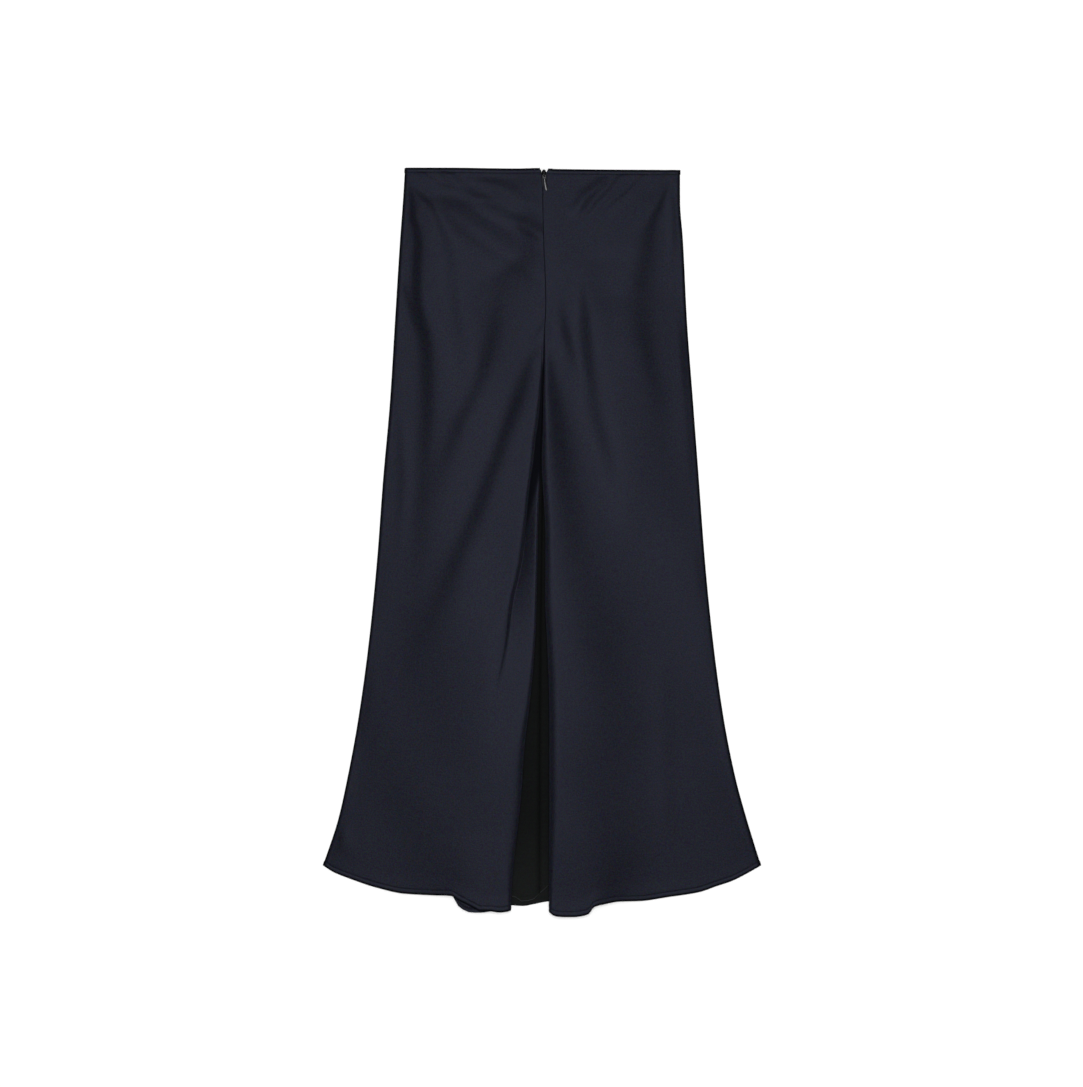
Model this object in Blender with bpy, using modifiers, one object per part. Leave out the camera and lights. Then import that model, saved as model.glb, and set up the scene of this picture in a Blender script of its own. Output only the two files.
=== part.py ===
"""Long bias-cut satin slip skirt, laid flat on a surface with its back side up.

The front panel lies flat on the surface and the two back panels lie on it. They meet
at the centre back: along a short concealed zip down from the waist, and below its end
along a seam hidden at the bottom of a deep inverted pleat. Each back panel is one
piece of cloth whose section runs from the side seam over the top layer to the soft
roll of the pleat's edge, back under it as the return, round the inner fold, and on
as the underlay to the centre back seam.

Axes: +Y to the waist, +X to the right as seen from above, +Z up, origin under the
middle of the skirt on the surface. Every table is in millimetres: "down" is the
distance down from the waist line, "x" is across.
"""

import math

import bmesh
import bpy
import numpy as np
from mathutils import Matrix, Vector

MM = 0.001
COLLECTION = "slip_skirt"

# ---------------------------------------------------------------- driving sizes
WAIST_ABOVE_ORIGIN = 467.45     # the waist line's Y
WALL = 1.0                      # cloth wall
GAP = 0.3                       # between pieces that touch
FOLD_RADIUS = 1.2               # inner fold of the pleat, at mid-wall
ZIP_END = 212.0                 # the zip ends and the pleat opens
ZIP_TAPE_WALL = 0.8
ZIP_TAPE_WIDTH = 24.0
ZIP_TAPE_TOP = 4.5
ZIP_TAPE_BOTTOM = 208.0

FRONT_MID = WALL / 2
UNDERLAY_MID = FRONT_MID + WALL + GAP
RETURN_MID = UNDERLAY_MID + 2 * FOLD_RADIUS
TAPE_MID = WALL + GAP + ZIP_TAPE_WALL / 2
OVER_RETURN = RETURN_MID + WALL + GAP               # top layer where the return is under it
OVER_TAPE = TAPE_MID + ZIP_TAPE_WALL / 2 + GAP + WALL / 2
LOFT = 1.2                      # air under the middle of each back panel
STEP_WIDTH = 15.0               # the top layer comes down off the inner fold over this width
TAPE_STEP = (14.0, 28.0)        # and off the zip tape between these distances from the zip
PLEAT_RISE = 24.0               # and it lifts over this length above the zip's end

SIGN = {"left": -1, "right": 1}     # from the centre back towards the side seam


def table(columns, *rows):
    """A small table: each named column becomes an array of its values."""
    return {name: np.array(values, float) for name, values in zip(columns.split(), zip(*rows))}


SIDE_SEAMS = table(
    "down left right",
    (0, -171.4, 172.4),
    (40, -173.9, 172.5),
    (90, -177.6, 176.1),
    (190, -183.9, 181.1),
    (290, -190.1, 188.6),
    (390, -198.9, 196.1),
    (490, -206.4, 203.6),
    (590, -216.4, 213.6),
    (690, -230.1, 227.4),
    (765, -243.9, 242.4),
    (815, -255.1, 256.1),
    (872, -273.9, 273.6),
)

# The pleat's flaps. "edge" is the flap's edge, counted from the centre line towards the
# side seam (negative where the right flap lies across it), "roll" and "crest" are how
# wide and how high the rolled edge is. Above the pleat the edges lie along the zip and
# spread a little at its slider. "ridge", "valley" and "trough" follow the folds beside it.
LEFT_FLAP = table(
    "down ridge valley edge roll crest",
    (0, -28.0, -14.0, 5.5, 0.0, 2.9),
    (5, -28.0, -14.0, 3.1, 0.0, 2.9),
    (14, -27.0, -13.0, 3.1, 0.0, 2.9),
    (26, -26.0, -12.0, 0.15, 0.0, 2.9),
    (175, -20.0, -8.0, 0.15, 0.0, 2.9),
    (199, -17.0, -7.0, 0.15, 0.0, 4.4),
    (208, -15.0, -6.0, 0.15, 0.0, 5.6),
    (212, -14.0, -5.5, 0.5, 1.4, 6.3),
    (265, -13.0, -7.0, 2.7, 2.0, 8.6),
    (315, -11.5, -8.0, 4.0, 2.2, 9.6),
    (340, -13.5, -9.5, 4.7, 2.4, 8.6),
    (365, -18.0, -11.5, 5.0, 2.8, 8.6),
    (402, -26.0, -16.5, 5.1, 3.3, 9.6),
    (440, -31.5, -20.0, 4.9, 3.6, 10.2),
    (515, -43.0, -25.5, 5.3, 3.8, 10.5),
    (565, -50.0, -29.5, 5.9, 4.0, 10.5),
    (615, -57.0, -34.0, 8.1, 4.2, 10.5),
    (665, -63.0, -39.0, 12.3, 4.5, 10.5),
    (727, -70.0, -46.0, 19.3, 4.8, 10.5),
    (790, -75.0, -51.0, 23.8, 5.0, 10.5),
    (840, -80.0, -56.0, 29.4, 5.0, 10.5),
    (890, -84.0, -61.0, 34.5, 5.0, 10.5),
    (928, -86.0, -63.0, 36.3, 5.0, 10.5),
)
RIGHT_FLAP = table(
    "down trough edge roll crest",
    (0, 22.0, 6.1, 0.0, 2.9),
    (5, 20.0, 3.9, 0.0, 2.9),
    (14, 18.0, 3.6, 0.0, 2.9),
    (26, 16.0, 0.15, 0.0, 2.9),
    (175, 14.0, 0.15, 0.0, 2.9),
    (199, 12.0, 0.15, 0.0, 4.4),
    (208, 11.0, 0.15, 0.0, 5.6),
    (212, 11.0, 0.5, 1.4, 6.3),
    (265, 13.5, 1.0, 2.8, 8.6),
    (315, 17.5, 0.5, 4.4, 10.0),
    (365, 24.0, -1.2, 8.0, 10.8),
    (415, 28.0, 1.5, 9.2, 11.0),
    (465, 31.0, 4.2, 9.8, 11.0),
    (540, 38.0, 4.8, 12.5, 11.0),
    (590, 42.0, 7.6, 12.0, 10.8),
    (640, 44.0, 10.1, 10.0, 10.6),
    (690, 46.0, 11.2, 9.0, 10.5),
    (928, 58.0, 11.2, 8.5, 10.5),
)
FLAPS = {"left": LEFT_FLAP, "right": RIGHT_FLAP}
FLAP_BELL = {"left": 26.0, "right": 26.0}       # how far the flap's rise reaches from its crest

INNER_FOLDS = table("down left right", (ZIP_END, -2.4, 6.6), (928, -113.4, 66.0))

# The centre back: the zip, and below its end the seam between the two underlays.
CENTRE_BACK = table(
    "down x",
    (0, 2.2),
    (14, 2.2),
    (26, 0.75),
    (55, 1.1),
    (104, 2.35),
    (139, 3.95),
    (175, 4.45),
    (212, 2.5),
    (300, 1.5),
    (400, 0.5),
    (700, -2.6),
    (928, -2.6),
)

WAIST_BACK = table("x down", (-172, -0.5), (-115, -0.4), (-4, 1.2), (8, 1.2), (72, 1.9), (172, 2.4))
WAIST_FRONT = table("x down", (-172, 0.0), (-110, 5.0), (0, 10.0), (110, 6.0), (172, 2.4))

# Hem lines as they lie, one for each layer.
HEMS = {
    "left_top": table(
        "x down",
        (-273.9, 872.0),
        (-261.4, 880.0),
        (-241.4, 888.1),
        (-207.6, 899.4),
        (-172.6, 906.9),
        (-140.1, 908.6),
        (-115.1, 909.3),
        (-105.8, 914.5),
        (-93.3, 920.6),
        (-84.9, 924.9),
        (-77.4, 928.3),
        (-64.8, 928.4),
        (-53.1, 929.9),
        (-41.0, 928.3),
    ),
    "left_return": table(
        "x down",
        (-113.4, 910.6),
        (-110.0, 916.5),
        (-104.1, 923.3),
        (-100.0, 926.0),
        (-89.9, 930.0),
        (-76.5, 930.4),
        (-60.0, 928.0),
        (-41.0, 927.0),
    ),
    "left_underlay": table(
        "x down",
        (-113.4, 910.6),
        (-75.0, 911.0),
        (-37.6, 910.0),
        (-30.1, 914.4),
        (-25.1, 916.9),
        (-12.6, 915.0),
        (-2.6, 906.2),
    ),
    "right_top": table(
        "x down",
        (8.5, 929.9),
        (12.3, 932.4),
        (17.3, 934.4),
        (27.3, 935.4),
        (40.6, 935.4),
        (49.0, 934.4),
        (55.8, 932.7),
        (59.1, 931.1),
        (61.6, 927.0),
        (64.9, 923.3),
        (77.5, 919.9),
        (97.6, 916.6),
        (122.4, 916.1),
        (157.4, 911.3),
        (197.4, 905.0),
        (217.4, 898.1),
        (237.4, 891.3),
        (257.4, 881.3),
        (273.6, 872.0),
    ),
    "right_return": table("x down", (8.5, 929.0), (30.0, 929.0), (50.0, 925.0), (66.0, 917.0)),
    "right_underlay": table(
        "x down", (-2.6, 906.2), (1.1, 903.8), (7.4, 896.9), (22.0, 894.0), (45.0, 905.0), (66.0, 917.0)
    ),
    "front": table(
        "x down",
        (-273.9, 872.0),
        (-227.6, 890.0),
        (-172.6, 903.0),
        (-123.9, 906.9),
        (-77.6, 915.0),
        (-38.9, 921.6),
        (-22.6, 922.5),
        (-12.6, 920.7),
        (7.4, 916.9),
        (41.1, 915.6),
        (77.4, 914.4),
        (122.4, 911.3),
        (177.4, 903.8),
        (227.4, 890.0),
        (273.6, 872.0),
    ),
}

# The largest creases of the top layer. Each runs down the cloth through its points;
# "rise" is its height (a trough is negative), and it spreads "out" towards the side
# seam and "inward" towards the centre back. It fades over a part of its length at each end.
CREASES = {
    "left": (
        dict(
            name="branching ridge",
            line=((300, -8), (323, -8), (340, -12), (361, -17), (402, -26), (440, -31.5),
                  (490, -39), (548, -48), (600, -55), (660, -62)),
            rise=4.2, out=20.0, inward=7.0, fade=(0.12, 0.45),
        ),
        dict(
            name="valley beside the branching ridge",
            line=((318, -6.5), (340, -8.5), (365, -11), (402, -16.5), (440, -20), (490, -24.5),
                  (548, -29.5), (610, -35)),
            rise=-4.0, out=6.5, inward=6.0, fade=(0.15, 0.5),
        ),
        dict(
            name="long trough from the zip's end",
            line=((222, -3), (253, -18), (286, -32), (330, -49), (362, -60), (410, -78),
                  (467, -97), (495, -110), (562, -141), (612, -166)),
            rise=-1.7, out=9.0, inward=12.0, fade=(0.1, 0.3),
        ),
    ),
    "right": (
        dict(
            name="trough beside the crest",
            line=((222, 8), (276, 13), (342, 20.5), (400, 24), (460, 29), (520, 34)),
            rise=-2.2, out=9.0, inward=6.0, fade=(0.15, 0.5),
        ),
        dict(
            name="long trough from the zip's end",
            line=((180, 25), (211, 32), (242, 49), (266, 56), (305, 70), (349, 81), (400, 92)),
            rise=-1.4, out=12.0, inward=9.0, fade=(0.2, 0.4),
        ),
    ),
}

# ---------------------------------------------------------------- grid sizes
ROWS_ALONG_ZIP = (0, 5, 14, 26, 60, 98, 136, 174, 196, 207, ZIP_END)
ROWS_ALONG_PLEAT = 25
TOP_LINES = {"left": ("ridge", "valley"), "right": ("trough",)}
TOP_COLUMNS = {"left": (15, 3, 3), "right": (16, 6)}
HIDDEN_COLUMNS = {
    "left": (("roll", 5), ("return", 7), ("inner_fold", 3), ("underlay", 7)),
    "right": (("roll", 5), ("return", 5), ("inner_fold", 3), ("underlay", 6)),
}
FRONT_GRID = (20, 18)
TAPE_ROWS = 10

# ---------------------------------------------------------------- slider and pull
SLIDER_X = 2.2
SLIDER_TOP = 1.8                # the nose, just under the waist line
SLIDER_LENGTH = 10.5
SLIDER_WIDTH = 5.2
SLIDER_HEIGHT = 2.0
SLIDER_BEVEL = 0.35
SLIDER_FLOOR = TAPE_MID + ZIP_TAPE_WALL / 2 + GAP
BAIL_WIRE = 0.4                 # radius
BAIL_RADIUS = 1.45              # of the arch, at the wire's middle
PULL_THICKNESS = 0.9
CROSSBAR = 0.8                  # the pull's bar inside the bail
HINGE_DOWN = 8.2
HINGE_ABOVE_SLIDER = 0.95
PULL_YAW = math.radians(11)     # the pull lies a little askew
PULL_PITCH = math.radians(3.4)  # and its tip comes down to the cloth
EYE_WIDTH = 4.6
EYE_LENGTH = 5.2
EYE_HOLE = (2.0, 2.3)           # width, length
DROP_END = 20.4                 # from the hinge to the tip of the drop
DROP_WIDTH = 4.3
NECK_WIDTH = 1.9

MATERIALS = {
    "satin": dict(color=(0.016, 0.017, 0.026), roughness=0.42, metallic=0.0),
    "zip_tape": dict(color=(0.010, 0.011, 0.018), roughness=0.8, metallic=0.0),
    "zip_metal": dict(color=(0.16, 0.16, 0.17), roughness=0.3, metallic=1.0),
}


# ---------------------------------------------------------------- small mathematics
def along(tab, column, where, by="down"):
    """A column of the table between its rows: a smooth curve that never overshoots them."""
    x, y = tab[by], tab[column]
    step = np.diff(x)
    slope = np.diff(y) / step
    tangent = np.concatenate([slope[:1], np.zeros(len(x) - 2), slope[-1:]])
    for i in range(1, len(x) - 1):
        if slope[i - 1] * slope[i] > 0:
            w1, w2 = 2 * step[i] + step[i - 1], step[i] + 2 * step[i - 1]
            tangent[i] = (w1 + w2) / (w1 / slope[i - 1] + w2 / slope[i])
    at = np.clip(np.asarray(where, float), x[0], x[-1])
    i = np.clip(np.searchsorted(x, at, side="right") - 1, 0, len(x) - 2)
    t = (at - x[i]) / step[i]
    return (
        (1 + 2 * t) * (1 - t) ** 2 * y[i]
        + t * (1 - t) ** 2 * step[i] * tangent[i]
        + t * t * (3 - 2 * t) * y[i + 1]
        + t * t * (t - 1) * step[i] * tangent[i + 1]
    )


def smoothstep(t):
    t = np.clip(t, 0.0, 1.0)
    return t * t * (3 - 2 * t)


def mix(a, b, t):
    return a + (b - a) * t


# ---------------------------------------------------------------- the cloth's form
def crease_height(crease, x, down):
    """How far one crease lifts the cloth at each point, by the distance to its line."""
    sign = math.copysign(1.0, crease["line"][-1][1])
    points = np.array([(px, pdown) for pdown, px in crease["line"]], float)
    lengths = np.hypot(*np.diff(points, axis=0).T)
    total = lengths.sum()
    best = np.full(np.shape(x), np.inf)
    outward = np.zeros(np.shape(x))
    place = np.zeros(np.shape(x))
    run = 0.0
    for (ax, ad), (bx, bd), length in zip(points, points[1:], lengths):
        dx, dd = (bx - ax) / length, (bd - ad) / length
        t = np.clip((x - ax) * dx + (down - ad) * dd, 0.0, length)
        off_x, off_d = x - ax - t * dx, down - ad - t * dd
        distance = np.hypot(off_x, off_d)
        nearer = distance < best
        best = np.where(nearer, distance, best)
        outward = np.where(nearer, (off_x * dd - off_d * dx) * sign, outward)
        place = np.where(nearer, (run + t) / total, place)
        run += length
    width = np.where(outward > 0, crease["out"], crease["inward"])
    fade_in, fade_out = crease["fade"]
    fade = smoothstep(place / fade_in) * smoothstep((1 - place) / fade_out)
    return crease["rise"] * np.exp(-((best / width) ** 2)) * fade


def clearance(side, x, down):
    """The lowest the top layer may lie: on the front, the zip tape or the pleat's return."""
    beyond_fold = SIGN[side] * (x - along(INNER_FOLDS, side, down))
    over_fold = smoothstep((STEP_WIDTH - beyond_fold) / (STEP_WIDTH - 0.5))
    over_fold = over_fold * smoothstep((down - ZIP_END + PLEAT_RISE) / PLEAT_RISE)
    near, far = TAPE_STEP
    over_tape = smoothstep((far - np.abs(x - along(CENTRE_BACK, "x", down))) / (far - near))
    over_tape = over_tape * smoothstep((ZIP_END + PLEAT_RISE - down) / PLEAT_RISE)
    step = np.maximum((OVER_RETURN - UNDERLAY_MID) * over_fold, (OVER_TAPE - UNDERLAY_MID) * over_tape)
    return UNDERLAY_MID + step


def crest_line(side, down):
    """Where the top layer ends and the rolled edge begins."""
    flap = FLAPS[side]
    out = along(flap, "edge", down) + along(flap, "roll", down)
    return along(CENTRE_BACK, "x", down) + SIGN[side] * out


def top_height(side, x, down):
    """Mid-wall height of a back panel's top layer."""
    seam, crest_x = along(SIDE_SEAMS, side, down), crest_line(side, down)
    lowest = clearance(side, x, down)
    from_seam = np.clip((x - seam) / (crest_x - seam), 0.0, 1.0)
    loft = LOFT * 4 * from_seam * (1 - from_seam) * smoothstep(down / 80)
    rise = along(FLAPS[side], "crest", down) - clearance(side, crest_x, down)
    bell = np.exp(-(((x - crest_x) / FLAP_BELL[side]) ** 2))
    creases = sum(crease_height(crease, x, down) for crease in CREASES[side])
    return np.maximum(lowest + loft + np.maximum(rise, 0.0) * bell + creases, lowest)


def place(side, stretch, t, down):
    """(x, z) of a back panel's mid-wall at part t of one stretch of its section."""
    sign = SIGN[side]
    crest_x = crest_line(side, down)
    fold_centre = along(INNER_FOLDS, side, down) - sign * FOLD_RADIUS
    if stretch == "roll":
        roll = along(FLAPS[side], "roll", down)
        top = top_height(side, crest_x, down)
        middle, half = (top + RETURN_MID) / 2, (top - RETURN_MID) / 2
        angle = math.pi * t
        return crest_x - sign * roll * math.sin(angle), middle + half * math.cos(angle)
    if stretch == "return":
        return mix(crest_x, fold_centre, t), np.full(np.shape(down), RETURN_MID)
    if stretch == "inner_fold":
        angle = math.pi * t
        middle = (RETURN_MID + UNDERLAY_MID) / 2
        x = fold_centre + sign * FOLD_RADIUS * math.sin(angle)
        return x, np.full(np.shape(down), middle + FOLD_RADIUS * math.cos(angle))
    if stretch == "underlay":
        seam = along(CENTRE_BACK, "x", down) + sign * GAP / 2
        return mix(fold_centre, seam, t), np.full(np.shape(down), UNDERLAY_MID)
    lines = [along(SIDE_SEAMS, side, down)]
    lines += [along(FLAPS[side], name, down) for name in TOP_LINES[side]]
    lines += [crest_x]
    x = mix(lines[stretch], lines[stretch + 1], t)
    return x, top_height(side, x, down)


def hem_down(side, stretch, t, x):
    """Where the hem is at the foot of one column of cloth."""
    top, back, under = (HEMS[f"{side}_{layer}"] for layer in ("top", "return", "underlay"))
    if stretch == "roll":
        return mix(along(top, "down", x, by="x"), along(back, "down", x, by="x"), t)
    if stretch == "return":
        return along(back, "down", x, by="x")
    if stretch == "inner_fold":
        return mix(along(back, "down", x, by="x"), along(under, "down", x, by="x"), t)
    if stretch == "underlay":
        return along(under, "down", x, by="x")
    return along(top, "down", x, by="x")


def back_columns(side):
    """Every column of cloth in a back panel, from the side seam to the centre back."""
    columns = [(0, 0.0)]
    for stretch, count in [*enumerate(TOP_COLUMNS[side]), *HIDDEN_COLUMNS[side]]:
        columns += [(stretch, (i + 1) / count) for i in range(count)]
    return columns


# ---------------------------------------------------------------- making objects
def new_object(name, mesh, material):
    obj = bpy.data.objects.new(name, mesh)
    bpy.data.collections[COLLECTION].objects.link(obj)
    mesh.materials.clear()
    mesh.materials.append(bpy.data.materials[material])
    return obj


def make_material(name, color, roughness, metallic):
    material = bpy.data.materials.new(name)
    material.use_nodes = True
    shader = material.node_tree.nodes["Principled BSDF"]
    shader.inputs["Base Color"].default_value = (*color, 1.0)
    shader.inputs["Roughness"].default_value = roughness
    shader.inputs["Metallic"].default_value = metallic
    material.diffuse_color = (*color, 1.0)


def row_place(x, down, z):
    """A point of the tables as a point of the part, in metres."""
    return Vector((x, WAIST_ABOVE_ORIGIN - down, z)) * MM


def cloth(name, columns, rows, point_at, material="satin", wall=WALL, missing=None):
    """A wall of cloth: a grid whose points are placed by point_at, made solid both ways."""
    bm = bmesh.new()
    bmesh.ops.create_grid(bm, x_segments=columns, y_segments=rows, size=1.0)
    gone = []
    for vert in bm.verts:
        column = round((vert.co.x + 1) / 2 * columns)
        row = round((1 - vert.co.y) / 2 * rows)
        if missing and missing(column, row):
            gone.append(vert)
        else:
            vert.co = row_place(*point_at(column, row))
    bmesh.ops.delete(bm, geom=gone, context="VERTS")
    mesh = bpy.data.meshes.new(name)
    bm.to_mesh(mesh)
    bm.free()
    mesh.shade_smooth()
    obj = new_object(name, mesh, material)
    solid = obj.modifiers.new("wall", "SOLIDIFY")
    solid.thickness = wall * MM
    solid.offset = 0.0
    return obj


# ---------------------------------------------------------------- the pieces
def make_front_panel():
    """The front, flat on the surface; its waist dips in the middle."""
    columns, rows = FRONT_GRID

    def point_at(column, row):
        across, v = column / columns, row / rows
        at_waist = mix(SIDE_SEAMS["left"][0], SIDE_SEAMS["right"][0], across)
        at_hem = mix(SIDE_SEAMS["left"][-1], SIDE_SEAMS["right"][-1], across)
        waist = along(WAIST_FRONT, "down", at_waist, by="x")
        hem = along(HEMS["front"], "down", at_hem, by="x")
        down = mix(waist, hem, v)
        x = mix(along(SIDE_SEAMS, "left", down), along(SIDE_SEAMS, "right", down), across)
        return x, down, FRONT_MID

    cloth("front_panel", columns, rows, point_at)


def make_back_panel(side):
    """One back panel: top layer, rolled edge, return, inner fold and underlay."""
    columns = back_columns(side)
    last_top = sum(TOP_COLUMNS[side])
    deepest = HEMS[f"{side}_top"]["down"].max()
    zip_rows = len(ROWS_ALONG_ZIP) - 1
    along_zip = np.array(ROWS_ALONG_ZIP) / ZIP_END
    along_pleat = np.linspace(0.0, 1.0, ROWS_ALONG_PLEAT + 1)[1:]
    grid = []
    for index, (stretch, t) in enumerate(columns):
        hem_x, _ = place(side, stretch, t, np.array([deepest]))
        hem = hem_down(side, stretch, t, hem_x)[0]
        waist_x, _ = place(side, stretch if index <= last_top else 0, t, np.array([0.0]))
        waist = along(WAIST_BACK, "down", waist_x, by="x")[0]
        zip_end = ZIP_END if index > last_top else mix(waist, hem, ZIP_END / deepest)
        down = np.concatenate([mix(waist, zip_end, along_zip), mix(zip_end, hem, along_pleat)])
        x, z = place(side, stretch, t, down)
        grid.append(np.stack([x, down, z], axis=1))

    def point_at(column, row):
        return grid[column][row]

    def above_pleat(column, row):
        return column > last_top and row < zip_rows

    rows = zip_rows + ROWS_ALONG_PLEAT
    cloth(f"back_{side}_panel", len(columns) - 1, rows, point_at, missing=above_pleat)


def make_zip_tape():
    """The zip's two tapes and coil under the back panels, as one flat band."""

    def point_at(column, row):
        down = mix(ZIP_TAPE_TOP, ZIP_TAPE_BOTTOM, row / TAPE_ROWS)
        x = along(CENTRE_BACK, "x", down) + (column - 1) * ZIP_TAPE_WIDTH / 2
        return x, down, TAPE_MID

    cloth("zip_tape", 2, TAPE_ROWS, point_at, material="zip_tape", wall=ZIP_TAPE_WALL)


def outline_solid(name, outlines, thickness, material):
    """A flat plate from closed 2D outlines (an outer one, then holes), centred on z = 0."""
    curve = bpy.data.curves.new(name, "CURVE")
    curve.dimensions = "2D"
    curve.fill_mode = "BOTH"
    curve.extrude = thickness / 2 * MM
    for outline in outlines:
        spline = curve.splines.new("POLY")
        spline.points.add(len(outline) - 1)
        for point, (x, y) in zip(spline.points, outline):
            point.co = (x * MM, y * MM, 0.0, 1.0)
        spline.use_cyclic_u = True
    return curve_to_mesh(name, curve, material)


def curve_to_mesh(name, curve, material, matrix=None):
    """The curve as a closed mesh object, its caps welded on."""
    maker = bpy.data.objects.new(name + "_curve", curve)
    bpy.data.collections[COLLECTION].objects.link(maker)
    if matrix:
        maker.matrix_world = matrix
    bpy.context.view_layer.update()
    mesh = bpy.data.meshes.new_from_object(maker.evaluated_get(bpy.context.evaluated_depsgraph_get()))
    bm = bmesh.new()
    bm.from_mesh(mesh)
    bmesh.ops.remove_doubles(bm, verts=bm.verts, dist=1e-6)
    bmesh.ops.recalc_face_normals(bm, faces=bm.faces)
    bm.to_mesh(mesh)
    bm.free()
    obj = new_object(name, mesh, material)
    obj.matrix_world = maker.matrix_world
    bpy.data.objects.remove(maker)
    return obj


def arc(centre_y, radius_x, radius_y, start, end, count):
    """Points of an elliptic arc about (0, centre_y), from start to end degrees."""
    angles = np.radians(np.linspace(start, end, count))
    return [(radius_x * math.cos(a), centre_y + radius_y * math.sin(a)) for a in angles]


def slider_outline():
    """Seen from above: a blunt rounded nose at the top, straight sides, a square end."""
    half, nose = SLIDER_WIDTH / 2, 3.6
    return arc(-nose, half, nose, 0, 180, 13) + [(-half + 0.5, -SLIDER_LENGTH), (half - 0.5, -SLIDER_LENGTH)]


def make_slider():
    """The zip's slider between the back panels' edges, with the arched bail for the pull."""
    top = SLIDER_FLOOR + SLIDER_HEIGHT
    body = outline_solid("zip_slider", [slider_outline()], SLIDER_HEIGHT, "zip_metal")
    body.matrix_world = Matrix.Translation(row_place(SLIDER_X, SLIDER_TOP, SLIDER_FLOOR + SLIDER_HEIGHT / 2))
    bevel = body.modifiers.new("soft_edges", "BEVEL")
    bevel.width = SLIDER_BEVEL * MM
    bevel.segments = 2

    wire = bpy.data.curves.new("bail_wire", "CURVE")
    wire.dimensions = "3D"
    wire.bevel_depth = BAIL_WIRE * MM
    wire.bevel_resolution = 1
    wire.use_fill_caps = True
    leg = -HINGE_ABOVE_SLIDER - 0.5
    arch = arc(0.0, BAIL_RADIUS, BAIL_RADIUS, 0, 180, 9)
    points = [(BAIL_RADIUS, leg), *arch, (-BAIL_RADIUS, leg)]
    spline = wire.splines.new("POLY")
    spline.points.add(len(points) - 1)
    for point, (y, z) in zip(spline.points, points):
        point.co = (0.0, y * MM, z * MM, 1.0)
    hinge = row_place(SLIDER_X, HINGE_DOWN, top + HINGE_ABOVE_SLIDER)
    bail = curve_to_mesh("bail_wire", wire, "zip_metal", Matrix.Translation(hinge))
    bail.hide_render = True
    bail.display_type = "WIRE"
    bpy.data.collections[COLLECTION].objects.unlink(bail)
    bpy.data.collections["cutters"].objects.link(bail)
    union = body.modifiers.new("bail", "BOOLEAN")
    union.operation = "UNION"
    union.object = bail
    return hinge


def pull_outline():
    """The pull seen flat, hinge at the origin and the drop towards -Y: eye, neck and drop."""
    eye_middle = CROSSBAR / 2 - EYE_LENGTH / 2
    eye = arc(eye_middle, EYE_WIDTH / 2, EYE_LENGTH / 2, -62, 242, 21)
    neck_y = -EYE_LENGTH + 0.2
    drop_radius = DROP_WIDTH / 2
    drop_middle = -DROP_END + drop_radius * 1.15
    drop = arc(drop_middle, drop_radius, drop_radius * 1.15, 165, 375, 15)
    left_neck, right_neck = (-NECK_WIDTH / 2, neck_y), (NECK_WIDTH / 2, neck_y)
    return eye + [left_neck] + drop + [right_neck]


def make_pull(hinge):
    """The drop-shaped pull, hung on the slider's bail and lying on the cloth."""
    hole_width, hole_length = EYE_HOLE
    hole_middle = -CROSSBAR / 2 - hole_length / 2
    hole = arc(hole_middle, hole_width / 2, hole_length / 2, 0, 360 - 30, 12)
    pull = outline_solid("zip_pull", [pull_outline(), hole], PULL_THICKNESS, "zip_metal")
    lie = Matrix.Rotation(PULL_YAW, 4, "Z") @ Matrix.Rotation(PULL_PITCH, 4, "X")
    pull.matrix_world = Matrix.Translation(hinge) @ lie


def main():
    for obj in list(bpy.data.objects):
        bpy.data.objects.remove(obj)
    for name in (COLLECTION, "cutters"):
        bpy.context.scene.collection.children.link(bpy.data.collections.new(name))
    for name, look in MATERIALS.items():
        make_material(name, **look)
    make_front_panel()
    make_back_panel("left")
    make_back_panel("right")
    make_zip_tape()
    make_pull(make_slider())


main()
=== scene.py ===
"""Looks of the long satin slip skirt, laid flat with its back side up.

Each cloth panel is one thin shell, shaped by the same sections as its solid: from the
side seam over the top layer to the pleat's rolled edge, back as the return, round the
inner fold and on as the underlay to the centre back seam. Hems and waist are turned
under and stitched. Tables are in millimetres: "down" is the distance down from the
waist line, "x" is across; +Y runs up the skirt and +Z up from the surface.
"""

import math

import bmesh
import bpy
import numpy as np
from mathutils import Matrix, Vector


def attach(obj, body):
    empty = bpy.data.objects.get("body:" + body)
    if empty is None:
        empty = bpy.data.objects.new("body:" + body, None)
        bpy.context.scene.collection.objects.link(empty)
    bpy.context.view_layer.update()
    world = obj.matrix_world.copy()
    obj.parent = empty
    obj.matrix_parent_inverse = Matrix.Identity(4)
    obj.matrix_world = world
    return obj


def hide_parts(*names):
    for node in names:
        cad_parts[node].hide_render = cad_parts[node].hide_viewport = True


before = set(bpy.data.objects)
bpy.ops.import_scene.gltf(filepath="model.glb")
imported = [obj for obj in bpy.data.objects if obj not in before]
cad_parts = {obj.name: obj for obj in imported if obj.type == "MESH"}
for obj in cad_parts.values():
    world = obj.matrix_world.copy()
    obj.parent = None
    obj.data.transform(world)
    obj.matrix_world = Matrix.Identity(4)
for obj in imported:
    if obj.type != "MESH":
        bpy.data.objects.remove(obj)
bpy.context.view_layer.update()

MM = 0.001

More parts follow.
